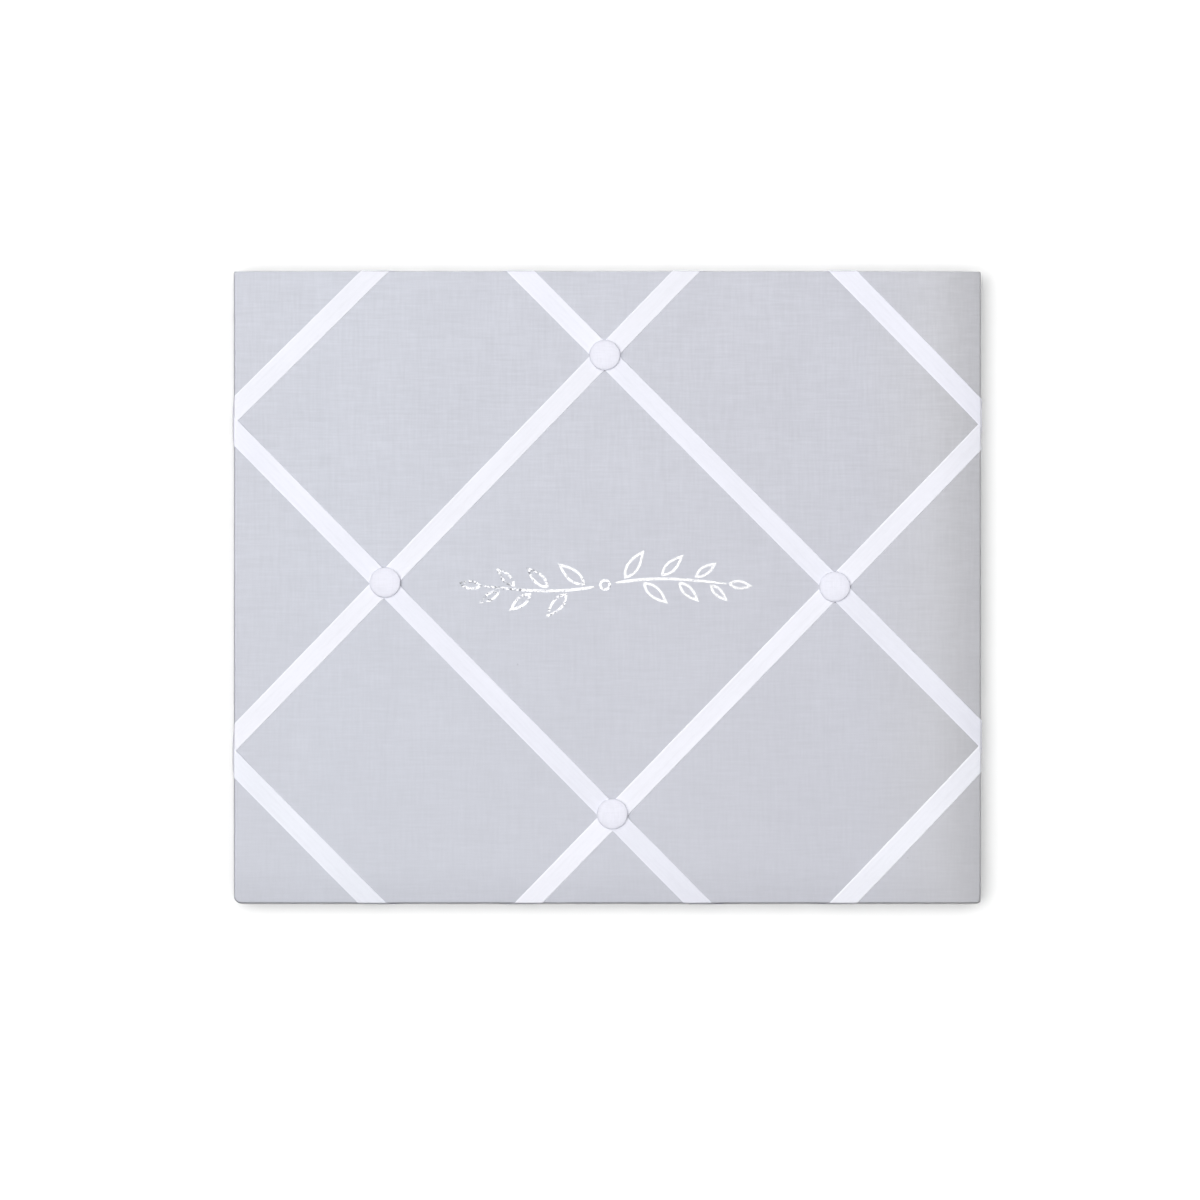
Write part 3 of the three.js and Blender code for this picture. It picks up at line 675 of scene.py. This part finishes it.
def make_pad():
    inset = 0.85
    a, b = A - inset, B - inset
    near = [0, 0.3, 0.8, 1.5, 2.4, 4.0, 6.5, 10.0]
    xs, zs = lines(a, 6.0, near), lines(b, 6.0, near)
    nx, nz = len(xs), len(zs)
    X, Z = rounded_plan(xs, zs, {k: max(0.8, r - inset) for k, r in CORNER.items()}, a, b)
    Y = front(X, Z) + CLOTH_T + 0.18
    Y = Y + 0.25 * smooth(3.0, 0.0, np.minimum(a - np.abs(X), b - np.abs(Z)))
    for bx, bz in BUTTONS.values():
        Y = Y + 0.35 * np.exp(-(((X - bx) ** 2 + (Z - bz) ** 2) / 60.0))
    loft = 0.05 * (np.sin(X / 7.0) * np.sin(Z / 6.0) + np.sin(X / 3.1 + Z / 4.3))
    Y = Y + np.abs(loft)
    pts = np.stack([X, Y, Z], axis=-1).reshape(-1, 3)
    low = np.stack([X, np.full_like(X, -8.05), Z], axis=-1).reshape(-1, 3)
    count = len(pts)
    faces = grid_faces(nx, nz) + [f[::-1] for f in grid_faces(nx, nz, start=count)]
    ring = [i * nz + j for i, j, _ in rim_walk(nx, nz)]
    mids = []
    for k in ring:
        p, q = pts[k], low[k]
        mids.append([p[0] * 0.9995, (p[1] + q[1]) / 2, p[2] * 0.9995])
    m0 = 2 * count
    n = len(ring)
    for k in range(n):
        j = (k + 1) % n
        faces.append((ring[k], ring[j], m0 + j, m0 + k))
        faces.append((m0 + k, m0 + j, count + ring[j], count + ring[k]))
    allp = np.concatenate([pts, low, np.array(mids)])
    faces = consistent(allp, faces)
    return piece("pad_wadding", allp, faces, PAD, sharp=60)


def consistent(points, faces):
    """The same faces with every normal looking out of the closed body."""
    me = bpy.data.meshes.new("turn")
    me.from_pydata(np.asarray(points).tolist(), [], [list(map(int, f)) for f in faces])
    bm = bmesh.new()
    bm.from_mesh(me)
    bmesh.ops.recalc_face_normals(bm, faces=bm.faces)
    bm.verts.index_update()
    out = [[v.index for v in f.verts] for f in bm.faces]
    bm.free()
    bpy.data.meshes.remove(me)
    return outward(points, out)


pad = make_pad()
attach(pad, "board")
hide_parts("padding")


# ------------------------------------------------------------------ ribbons

TOP_W = [-5.0, -4.86, -4.6, -4.25, -3.6, -1.8, 0.0, 1.8, 3.6, 4.25, 4.6, 4.86, 5.0]
TOP_H = [0.10, 0.21, 0.272, 0.244, 0.233, 0.237, 0.24, 0.237, 0.233, 0.244, 0.272, 0.21, 0.10]
LOW_W = [4.75, 2.4, 0.0, -2.4, -4.75]
SECTION = [(w, h) for w, h in zip(TOP_W, TOP_H)] + [(w, 0.0) for w in LOW_W]
START_E = 24.0
FRONT_E = [24, 21, 18, 15, 12.5, 10, 8, 6.2, 4.8, 3.7, 2.9, 2.3, 1.75, 1.38, 1.22, 1.08, 0.9, 0.74, 0.62, 0.5, 0.34, 0.16, 0.05, 0.0]
SIDE_SHARE = [0.2, 0.45, 0.7, 0.9, 1.0]  # rows down the side of the board
BACK_E = [(0.1, -2.95), (0.35, -2.55), (0.75, -2.32), (1.2, HEM_Y),
          (2.5, HEM_Y), (4.5, HEM_Y), (7.0, HEM_Y), (10.0, HEM_Y), (13.0, HEM_Y), (RIBBON_TAIL, HEM_Y)]


def end_rows(side, across, direction, over):
    """Rows of a ribbon's end, from the flat front round to its tail: for each row and section point, position and (across, along)."""
    n, t, half = (np.array(SIDES[side][0]), np.array(SIDES[side][1]), SIDES[side][2])
    slant = float(np.dot(direction, t) / -np.dot(direction, n))
    mid = across(0.0)
    v = float(np.dot(mid, t))
    brink = float(front(*(n * half + t * v)))
    prof = [(e, None) for e in FRONT_E] + [(0.0, brink + (-3.4 - brink) * k) for k in SIDE_SHARE] + BACK_E
    # Section of the edge at this ribbon, in (outwards, Y).
    q = []
    for e, y in prof:
        if y is None:
            y = float(front(*(n * (half - e) + t * v)))
        q.append((-e, y))
    q = np.array(q)
    seg = np.linalg.norm(np.diff(q, axis=0), axis=1)
    eu = START_E - np.concatenate([[0], np.cumsum(seg)])
    tan = np.zeros_like(q)
    tan[1:-1] = (q[2:] - q[1:-1]) / seg[1:, None] + (q[1:-1] - q[:-2]) / seg[:-1, None]
    tan[0], tan[-1] = q[1] - q[0], q[-1] - q[-2]
    tan /= np.linalg.norm(tan, axis=1)[:, None]
    nor = np.stack([tan[:, 1], -tan[:, 0]], axis=1)  # front (0,-1), side (1,0), back (0,1)
    crossed = over and side in ("left", "right")
    rows = []
    for i in range(len(prof)):
        row = []
        behind = i >= len(FRONT_E)
        for w, h in SECTION:
            pw = across(w)
            e0, v0 = half - float(np.dot(pw, n)), float(np.dot(pw, t))
            v = v0 + (eu[i] - e0) * slant
            gap = GAP_LOW
            if crossed:
                if not behind:
                    gap += (GAP_HIGH - GAP_LOW) * float(smooth(17, 6, -q[i][0]))
                else:
                    gap += (GAP_HIGH - GAP_LOW) * (1 - float(smooth(1.2, 7.0, -q[i][0])) if prof[i][1] >= HEM_Y - 1e-6 else 1.0)
            if i < len(FRONT_E):  # follow the cloth where this thread of the ribbon really lies
                p = n * (half + q[i][0]) + t * v
                y = float(front(p[0], p[1]))
            else:
                y = q[i][1]
            out = half + q[i][0] + nor[i][0] * (gap + h)
            p = n * out + t * v
            flat = n * (half - eu[i]) + t * v
            row.append(((p[0], y + nor[i][1] * (gap + h), p[1]), w, flat))
        rows.append(row)
    return rows


def make_ribbon(name, over, side_a, side_b, a, b, via, mat):
    length = float(np.linalg.norm(b - a))
    u = (b - a) / length
    p = np.array([-u[1], u[0]])
    first = end_rows(side_a, lambda w: a + p * w, u, over)[::-1]
    last = end_rows(side_b, lambda w: b + p * w, -u, over)
    stops = [float(np.dot(np.array(BUTTONS[k]) - a, u)) for k in via]

    def gap(s):
        g = GAP_LOW
        if over:
            for c in stops:
                g += (GAP_HIGH - GAP_LOW) * float(smooth(22.0, 6.6, abs(s - c)))
        return min(g, GAP_HIGH)

    rows = [r for r in first]
    head, tail = first[-1], last[0]
    span = float(np.dot(tail[6][2] - head[6][2], u))
    n = max(4, int(round(span / 1.8)))
    for i in range(1, n):
        f = i / n
        row = []
        for (_, w, fa), (_, _, fb), (_, h) in zip(head, tail, SECTION):
            c = fa + (fb - fa) * f
            s = float(np.dot(c - a, u))
            y = float(front(c[0], c[1])) - gap(s) - h
            row.append(((c[0], y, c[1]), w, c))
        rows.append(row)
    rows += last
    pts = [q[0] for r in rows for q in r]
    uv = [(q[1], float(np.dot(q[2] - a, u))) for r in rows for q in r]
    faces = outward(pts, tube_faces(len(rows), len(SECTION)))
    ob = piece(f"ribbon_{name}_satin", pts, faces, mat, uv=uv, sharp=75)
    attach(ob, "board")
    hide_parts(f"ribbon_{name}")
    return ob


for name, over, sa, sb, a, b, via in runs():
    make_ribbon(name, over, sa, sb, a, b, via, SATIN[name])


# ------------------------------------------------------------------ covered buttons

# Section of a covered button, [radius, height above the base]: a shallow lens with a thin rim, the cloth gathered in below.
CAP_OUT = [(0.0, 2.44), (0.9, 2.43), (1.8, 2.40), (2.7, 2.34), (3.5, 2.26), (4.2, 2.155), (4.85, 2.03), (5.4, 1.895), (5.9, 1.74),
           (6.3, 1.59), (6.65, 1.43), (6.95, 1.26), (7.18, 1.075), (7.35, 0.86), (7.45, 0.62), (7.50, 0.38), (7.47, 0.20),
           (7.36, 0.09), (7.1, 0.03), (6.7, 0.0), (6.0, 0.0), (5.0, 0.0)]
CAP_IN = [(5.0, 0.22), (6.4, 0.24), (6.95, 0.36), (6.92, 0.62), (6.55, 0.95), (5.95, 1.29), (5.1, 1.61), (3.9, 1.89), (2.2, 2.10)]
CAP_IN_TOP = 2.18


def make_cap(key, cx, cz, seed):
    h_top = CAP_OUT[0][1]
    prof = CAP_OUT + CAP_IN
    seg = 72
    pts, rows = [(cx, BUTTON_BASE_Y - h_top, cz)], []
    for r, h in prof[1:]:
        row = []
        for j in range(seg):
            t = 2 * math.pi * j / seg
            tuck = float(smooth(1.3, 0.2, h)) if r > 4.9 else 0.0
            pleat = 0.05 * tuck * (math.sin(26 * t + seed) + 0.5 * math.sin(11 * t + 2 * seed))
            sag = 1.006 + 0.010 * math.cos(2 * t) * float(smooth(2.2, 0.6, h))
            row.append(len(pts))
            pts.append((cx + (r * sag + pleat) * math.cos(t), BUTTON_BASE_Y - h, cz + (r * sag + pleat) * math.sin(t)))
        rows.append(row)
    bottom = len(pts)
    pts.append((cx, BUTTON_BASE_Y - CAP_IN_TOP, cz))
    faces = []
    for j in range(seg):
        m = (j + 1) % seg
        faces.append((0, rows[0][m], rows[0][j]))
        faces.append((bottom, rows[-1][j], rows[-1][m]))
        for i in range(len(rows) - 1):
            faces.append((rows[i][j], rows[i][m], rows[i + 1][m], rows[i + 1][j]))
    ob = piece(f"button_{key}_cap_cloth", pts, consistent(pts, faces), CAP_CLOTH, sharp=70)
    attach(ob, "board")
    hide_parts(f"button_{key}_cap")
    return ob


caps = [make_cap(key, bx, bz, 1.7 * k + 0.4) for k, (key, (bx, bz)) in enumerate(BUTTONS.items())]


# ------------------------------------------------------------------ foil ornament: a line-drawn leaf sprig in the middle of the cloth

def foil_strip(points, faces, path, width):
    """A flat stroke along a path."""
    path = np.asarray(path, float)
    tan = np.gradient(path, axis=0)
    tan /= np.linalg.norm(tan, axis=1)[:, None]
    nor = np.stack([-tan[:, 1], tan[:, 0]], axis=1)
    start = len(points)
    for c, m, w in zip(path, nor, width):
        for s, lift in ((-1, 0.018), (1, 0.018), (1, 0.07), (-1, 0.07)):
            q = c + m * s * w / 2
            points.append((q[0], float(front(q[0], q[1])) - lift, q[1]))
    faces += tube_faces(len(path), 4, start)


def foil_loop(points, faces, outer, inner):
    """A closed stroke between two loops."""
    start = len(points)
    n = len(outer)
    for loop, lift in ((outer, 0.018), (outer, 0.07), (inner, 0.07), (inner, 0.018)):
        for q in loop:
            points.append((q[0], float(front(q[0], q[1])) - lift, q[1]))
    for r in range(4):
        for j in range(n):
            m = (j + 1) % n
            a, b = start + r * n, start + ((r + 1) % 4) * n
            faces.append((a + j, a + m, b + m, b + j))


def leaf(base, angle, length, width, pen):
    """Outer and inner outline of a pointed leaf."""
    def loop(l, w, off):
        pts = []
        n = 22
        for k in range(n):
            t = k / n
            pts.append((off + l * t, w / 2 * math.sin(math.pi * t ** 0.82) ** 0.9))
        for k in range(n):
            t = 1 - k / n
            pts.append((off + l * t, -w / 2 * math.sin(math.pi * t ** 0.82) ** 0.9))
        return pts
    c, s = math.cos(angle), math.sin(angle)
    turn = lambda pts: [(base[0] + x * c - y * s, base[1] + x * s + y * c) for x, y in pts]
    return turn(loop(length, width, 0)), turn(loop(length - 3.6 * pen, width - 2 * pen, 1.5 * pen))


def make_foil():
    points, faces = [], []
    pen = 1.25
    cx, cz = -1.0, 1.5
    stem = lambda x: 4.2 * math.sin(abs(x) / 21.0) * math.exp(-abs(x) / 90.0) * (1 if x > 0 else -1)
    for sgn in (-1, 1):
        xs = np.linspace(5.2, 60, 60)
        path = [(cx + sgn * x, cz + stem(sgn * x)) for x in xs]
        foil_strip(points, faces, path, np.interp(xs, [5.2, 9, 52, 60], [0.7, 1.45, 1.25, 0.7]))
        for k, x in enumerate([9.0, 18.0, 27.0, 35.5, 43.5, 51.0]):
            up = 1 if k % 2 == 0 else -1
            slope = math.atan(stem(sgn * (x + 0.5)) - stem(sgn * (x - 0.5)))
            size = 17.0 - 1.0 * k
            heading = slope + up * math.radians(47 - 2 * k)
            ax, az = math.cos(heading) * sgn, math.sin(heading)
            base = (cx + sgn * x + ax * 1.2, cz + stem(sgn * x) + up * 1.15 + az * 0.5)
            foil_loop(points, faces, *leaf(base, math.atan2(az, ax), size, size * 0.38, pen))
        tip = (cx + sgn * 61.0, cz + stem(sgn * 60))
        d = math.atan2(stem(sgn * 60) - stem(sgn * 59), sgn * 1.0)
        foil_loop(points, faces, *leaf(tip, d, 12.0, 4.8, pen))
    ring = [2 * math.pi * k / 40 for k in range(40)]
    foil_loop(points, faces, [(cx + 2.9 * math.cos(t), cz + 2.9 * math.sin(t)) for t in ring], [(cx + 1.7 * math.cos(t), cz + 1.7 * math.sin(t)) for t in ring])
    ob = piece("foil_sprig", points, consistent(points, faces), FOIL, sharp=40)
    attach(ob, "board")
    return ob


make_foil()


# ------------------------------------------------------------------ back: card and hangers

def make_card():
    w, h, r = A - CARD_INSET, B - CARD_INSET, 1.6
    outline = []
    for sx, sz, start in ((1, 1, 0), (-1, 1, 90), (-1, -1, 180), (1, -1, 270)):
        for k in range(7):
            t = math.radians(start + 15 * k)
            outline.append((sx * (w - r) + r * math.cos(t), sz * (h - r) + r * math.sin(t)))
    loops = [outline]
    for s in (-1, 1):
        loops.append([(s * HANGER_X + 1.6 * math.cos(2 * math.pi * k / 24), HINGE_Z - SCREW_DROP + 1.6 * math.sin(2 * math.pi * k / 24)) for k in range(24)])
    pts, faces = from_curve(loops, CARD_T, 0.12, lambda x, y, z: (x, -CARD_T / 2 - z, y))
    ob = piece("backing_card_sheet", pts, consistent(pts, faces), CARD, sharp=50)
    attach(ob, "board")
    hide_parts("backing_card")
    return ob


def circle(r, n, cx=0.0, cy=0.0):
    return [(cx + r * math.cos(2 * math.pi * k / n), cy + r * math.sin(2 * math.pi * k / n)) for k in range(n)]


def make_strap(key, x0):
    h, foot = STRAP_W / 2, STRAP_L - STRAP_W / 2
    outline = [(-h, 0.0)] + [(h * math.cos(t), -foot + h * math.sin(t)) for t in np.linspace(math.pi, 2 * math.pi, 33)] + [(h, 0.0)]
    y_mid = STRAP_Y + STRAP_T / 2
    pts, faces = from_curve([outline, circle(1.9, 32, 0, -SCREW_DROP)], STRAP_T, 0.16, lambda x, y, z: (x0 + x, y_mid - z, HINGE_Z + y))
    ob = piece(f"hanger_{key}_strap_metal", pts, consistent(pts, faces), ZINC, sharp=35)
    pts, faces = from_curve([circle(LOOP_R, 40), circle(LOOP_BORE, 40)], STRAP_W, 0.14, lambda x, y, z: (x0 + z, HINGE_Y + x, HINGE_Z + y))
    loop = piece("strap_loop", pts, consistent(pts, faces), ZINC, sharp=35)
    bore = [(x0 + sx * 7, HINGE_Y + y, HINGE_Z + z) for sx in (-1, 1) for y, z in circle(LOOP_BORE, 40)]
    pin = piece("strap_bore", bore, consistent(bore, tube_faces(2, 40)), ZINC)
    combine(ob, [loop], "UNION")
    combine(ob, [pin], "DIFFERENCE")
    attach(ob, "board")
    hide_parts(f"hanger_{key}_strap")
    return ob


def make_ring(key, x0):
    r = 1.0
    path = [(-x, 0.0) for x in np.linspace(-(RING_HALF - r), RING_HALF - r, 13)]
    path += [(-(RING_HALF - r) - r * math.sin(t), r - r * math.cos(t)) for t in np.linspace(0, math.pi / 2, 7)[1:]]
    path += [(-RING_HALF, z) for z in np.linspace(r, RING_STRAIGHT, 6)[1:]]
    path += [(-RING_HALF * math.cos(t), RING_STRAIGHT + RING_HALF * math.sin(t)) for t in np.linspace(0, math.pi, 33)[1:]]
    path += [(RING_HALF, z) for z in np.linspace(RING_STRAIGHT, r, 6)[1:]]
    path += [(RING_HALF - r + r * math.cos(t), r - r * math.sin(t)) for t in np.linspace(0, math.pi / 2, 7)[1:-1]]
    path = np.array(path)
    ahead = np.roll(path, -1, axis=0) - np.roll(path, 1, axis=0)
    ahead /= np.linalg.norm(ahead, axis=1)[:, None]
    c, s = math.cos(RING_LEAN), math.sin(RING_LEAN)
    pts, seg = [], 18
    for p, d in zip(path, ahead):
        side = np.array([-d[1], d[0]])
        for k in range(seg):
            t = 2 * math.pi * k / seg
            q = p + side * RING_WIRE * math.cos(t)
            y, z = RING_WIRE * math.sin(t), q[1]
            pts.append((x0 + q[0], HINGE_Y + y * c - z * s, HINGE_Z + y * s + z * c))
    n = len(path)
    faces = [(i * seg + j, i * seg + (j + 1) % seg, ((i + 1) % n) * seg + (j + 1) % seg, ((i + 1) % n) * seg + j) for i in range(n) for j in range(seg)]
    ob = piece(f"hanger_{key}_ring_wire", pts, consistent(pts, faces), ZINC)
    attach(ob, f"ring_{key}")
    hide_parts(f"hanger_{key}_ring")
    return ob


def make_screw(key, x0):
    y0 = STRAP_Y + STRAP_T + 0.1
    z0 = HINGE_Z - SCREW_DROP
    prof = [(0.25, -SCREW_L), (SCREW_SHANK * 0.8, -SCREW_L + 1.5)]
    y = -SCREW_L + 1.8
    while y < -0.5:  # thread
        prof += [(SCREW_SHANK * 0.82, y), (SCREW_SHANK, y + 0.22), (SCREW_SHANK, y + 0.36), (SCREW_SHANK * 0.82, y + 0.58)]
        y += 0.9
    prof += [(SCREW_SHANK * 0.95, -0.02), (SCREW_HEAD * 0.96, 0.0), (SCREW_HEAD, 0.12)]
    for k in range(9):
        t = math.pi / 2 * k / 9
        prof.append((SCREW_HEAD * math.cos(t) ** 0.8, 0.25 + 1.35 * math.sin(t)))
    prof.append((0.12, 1.6))
    seg = 40
    pts = [(x0 + r * math.cos(2 * math.pi * j / seg), y0 + h, z0 + r * math.sin(2 * math.pi * j / seg)) for r, h in prof for j in range(seg)]
    ob = piece(f"hanger_{key}_screw_steel", pts, consistent(pts, tube_faces(len(prof), seg)), ZINC, sharp=35)
    tools = []
    for turn in (0.35, 0.35 + math.pi / 2):
        c, s = math.cos(turn), math.sin(turn)
        slot = []
        for h, l, w in ((0.65, 0.75, 0.24), (2.2, 1.75, 0.42)):
            for x, z in ((-l, -w), (l, -w), (l, w), (-l, w)):
                slot.append((x0 + x * c - z * s, y0 + h, z0 + x * s + z * c))
        tools.append(piece("recess", slot, consistent(slot, tube_faces(2, 4)), ZINC))
    combine(ob, tools, "DIFFERENCE")
    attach(ob, "board")
    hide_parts(f"hanger_{key}_screw")
    return ob


make_card()
hangers = []
for key, x0 in (("left", -HANGER_X), ("right", HANGER_X)):
    hangers += [make_strap(key, x0), make_ring(key, x0), make_screw(key, x0)]


# ------------------------------------------------------------------ finishes of the parts that keep their CAD shape

def finish_node(name, mat):
    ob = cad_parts[name]
    ob.data.materials.clear()
    ob.data.materials.append(mat)


finish_node("core_board", BOARD)
for key in BUTTONS:
    finish_node(f"button_{key}_shell", BUTTON_STEEL)
    finish_node(f"button_{key}_plate", BUTTON_STEEL)
    finish_node(f"button_{key}_twine", TWINE)
    finish_node(f"button_{key}_washer", WASHER)
for side in SIDES:
    for k in range(1, 5):
        finish_node(f"staple_{side}_{k}", ZINC)


# ------------------------------------------------------------------ stage, light and camera

def plane(name, corners, mat):
    me = bpy.data.meshes.new(name)
    me.from_pydata(corners, [], [(0, 1, 2, 3)])
    me.materials.append(mat)
    ob = bpy.data.objects.new(name, me)
    bpy.context.scene.collection.objects.link(ob)
    return ob


def wall_material():
    """Matt wall, lit to white by its own lamps, and seen from its front only, so that the board's back can be looked at."""
    m, t, s = material("stage_wall_white")
    s.inputs["Base Color"].default_value = (0.325, 0.325, 0.325, 1)
    s.inputs["Roughness"].default_value = 1.0
    s.inputs["Specular IOR Level"].default_value = 0.0
    clear = node(t, "BsdfTransparent").outputs[0]
    mix = node(t, "MixShader", {0: node(t, "NewGeometry").outputs["Backfacing"], 1: s.outputs[0], 2: clear})
    t.links.new(mix.outputs[0], next(n for n in t.nodes if n.type == "OUTPUT_MATERIAL").inputs["Surface"])
    return m


def backdrop_material():
    m, t, s = material("stage_backdrop_white")
    s.inputs["Base Color"].default_value = (0, 0, 0, 1)
    s.inputs["Specular IOR Level"].default_value = 0.0
    s.inputs["Emission Color"].default_value = (1, 1, 1, 1)
    s.inputs["Emission Strength"].default_value = 0.92
    return m


floor_mat, ft, fs = material("stage_floor_pale")
fs.inputs["Roughness"].default_value = 0.9
ft.links.new(ramp(ft, noise(ft, coords(ft), (6, 6, 6), 3.0), [(0.3, (0.88, 0.88, 0.88)), (0.7, (0.91, 0.91, 0.91))]), fs.inputs["Base Color"])


def camera_only(ob):
    """Stage pieces are seen and take shadow, and add no light of their own to the board."""
    ob.visible_diffuse = ob.visible_glossy = ob.visible_shadow = ob.visible_transmission = False


wall_y, floor_z, big = 0.0043, -0.75, 9.0
wall = plane("stage_wall", [(-big, wall_y, floor_z), (big, wall_y, floor_z), (big, wall_y, big), (-big, wall_y, big)], wall_material())
camera_only(wall)
floor = plane("stage_floor", [(-big, -big, floor_z), (big, -big, floor_z), (big, big, floor_z), (-big, big, floor_z)], floor_mat)
camera_only(floor)
white = backdrop_material()
for k in range(4):
    t0, t1 = math.radians(90 * k - 45), math.radians(90 * k + 45)
    r = 12.0
    p, q = (r * math.cos(t0), r * math.sin(t0)), (r * math.cos(t1), r * math.sin(t1))
    camera_only(plane(f"stage_backdrop_{k}", [(*p, -3.0), (*q, -3.0), (*q, 9.0), (*p, 9.0)], white))


def lamp(name, place, target, size, power, only=None, but=None):
    d = bpy.data.lights.new(name, "AREA")
    d.shape, d.size, d.energy = "SQUARE", size, power
    ob = bpy.data.objects.new(name, d)
    ob.location = place
    ob.rotation_euler = (Vector(target) - Vector(place)).to_track_quat("-Z", "Y").to_euler()
    bpy.context.scene.collection.objects.link(ob)
    if only or but:  # a light for some pieces alone, or for everything but them
        c = bpy.data.collections.new(name)
        for o in only or but:
            c.objects.link(o)
        for o in c.collection_objects:
            o.light_linking.link_state = "INCLUDE" if only else "EXCLUDE"
        ob.light_linking.receiver_collection = c
    return ob


lamp("light_front", (-0.90, -2.0, 0.30), (0, 0, 0), 2.2, 50, but=[wall, floor, *caps])
lamp("light_upper", (0.0, -2.0, 0.90), (0, 0, 0), 2.2, 9.4, but=[wall, floor, *caps])
lamp("light_buttons", (-0.07, -2.0, 0.17), (0, 0, 0), 2.2, 48.3, only=caps)
lamp("light_wall_left", (-0.70, -2.0, 0.0), (0, 0, 0), 1.4, 86.0, only=[wall])
lamp("light_wall_top", (0.0, -2.0, 0.70), (0, 0, 0), 1.4, 39.8, only=[wall])
lamp("light_wall_right", (0.70, -2.0, 0.0), (0, 0, 0), 1.4, 24.5, only=[wall])
lamp("light_wall_bottom", (0.0, -2.0, -0.70), (0, 0, 0), 1.4, 13.6, only=[wall])
lamp("light_wall_soft", (0.0, -2.0, 0.0), (0, 0, 0), 6.0, 61, only=[wall])
lamp("light_floor", (0.0, 0.0, 8.0), (0, 0, 0), 24.0, 1450, only=[floor])
lamp("light_back", (0.25, 4.2, 0.12), (0, 0, 0), 1.0, 75, but=[floor])
lamp("light_side", (1.7, 1.4, 0.1), (0, 0, 0), 0.9, 24, but=[wall, floor, *hangers])
lamp("light_top", (0.1, 1.4, 1.7), (0, 0, 0), 0.9, 24, but=[wall, floor, *hangers])

world = bpy.data.worlds.new("studio")
bpy.context.scene.world = world
world.use_nodes = True
bg = next(n for n in world.node_tree.nodes if n.type == "BACKGROUND")
bg.inputs["Color"].default_value = (1, 1, 1, 1)
bg.inputs["Strength"].default_value = 0.20
bpy.context.scene.view_settings.view_transform = "Standard"

cam = bpy.data.cameras.new("camera")
cam.lens, cam.sensor_width = 100.0, 36.0
cam.clip_start, cam.clip_end = 0.05, 40.0
eye = bpy.data.objects.new("camera", cam)
eye.location = (-3.47 * MM, -1.6635, -5.98 * MM)
eye.rotation_euler = (math.pi / 2, 0, 0)
bpy.context.scene.collection.objects.link(eye)
bpy.context.scene.camera = eye
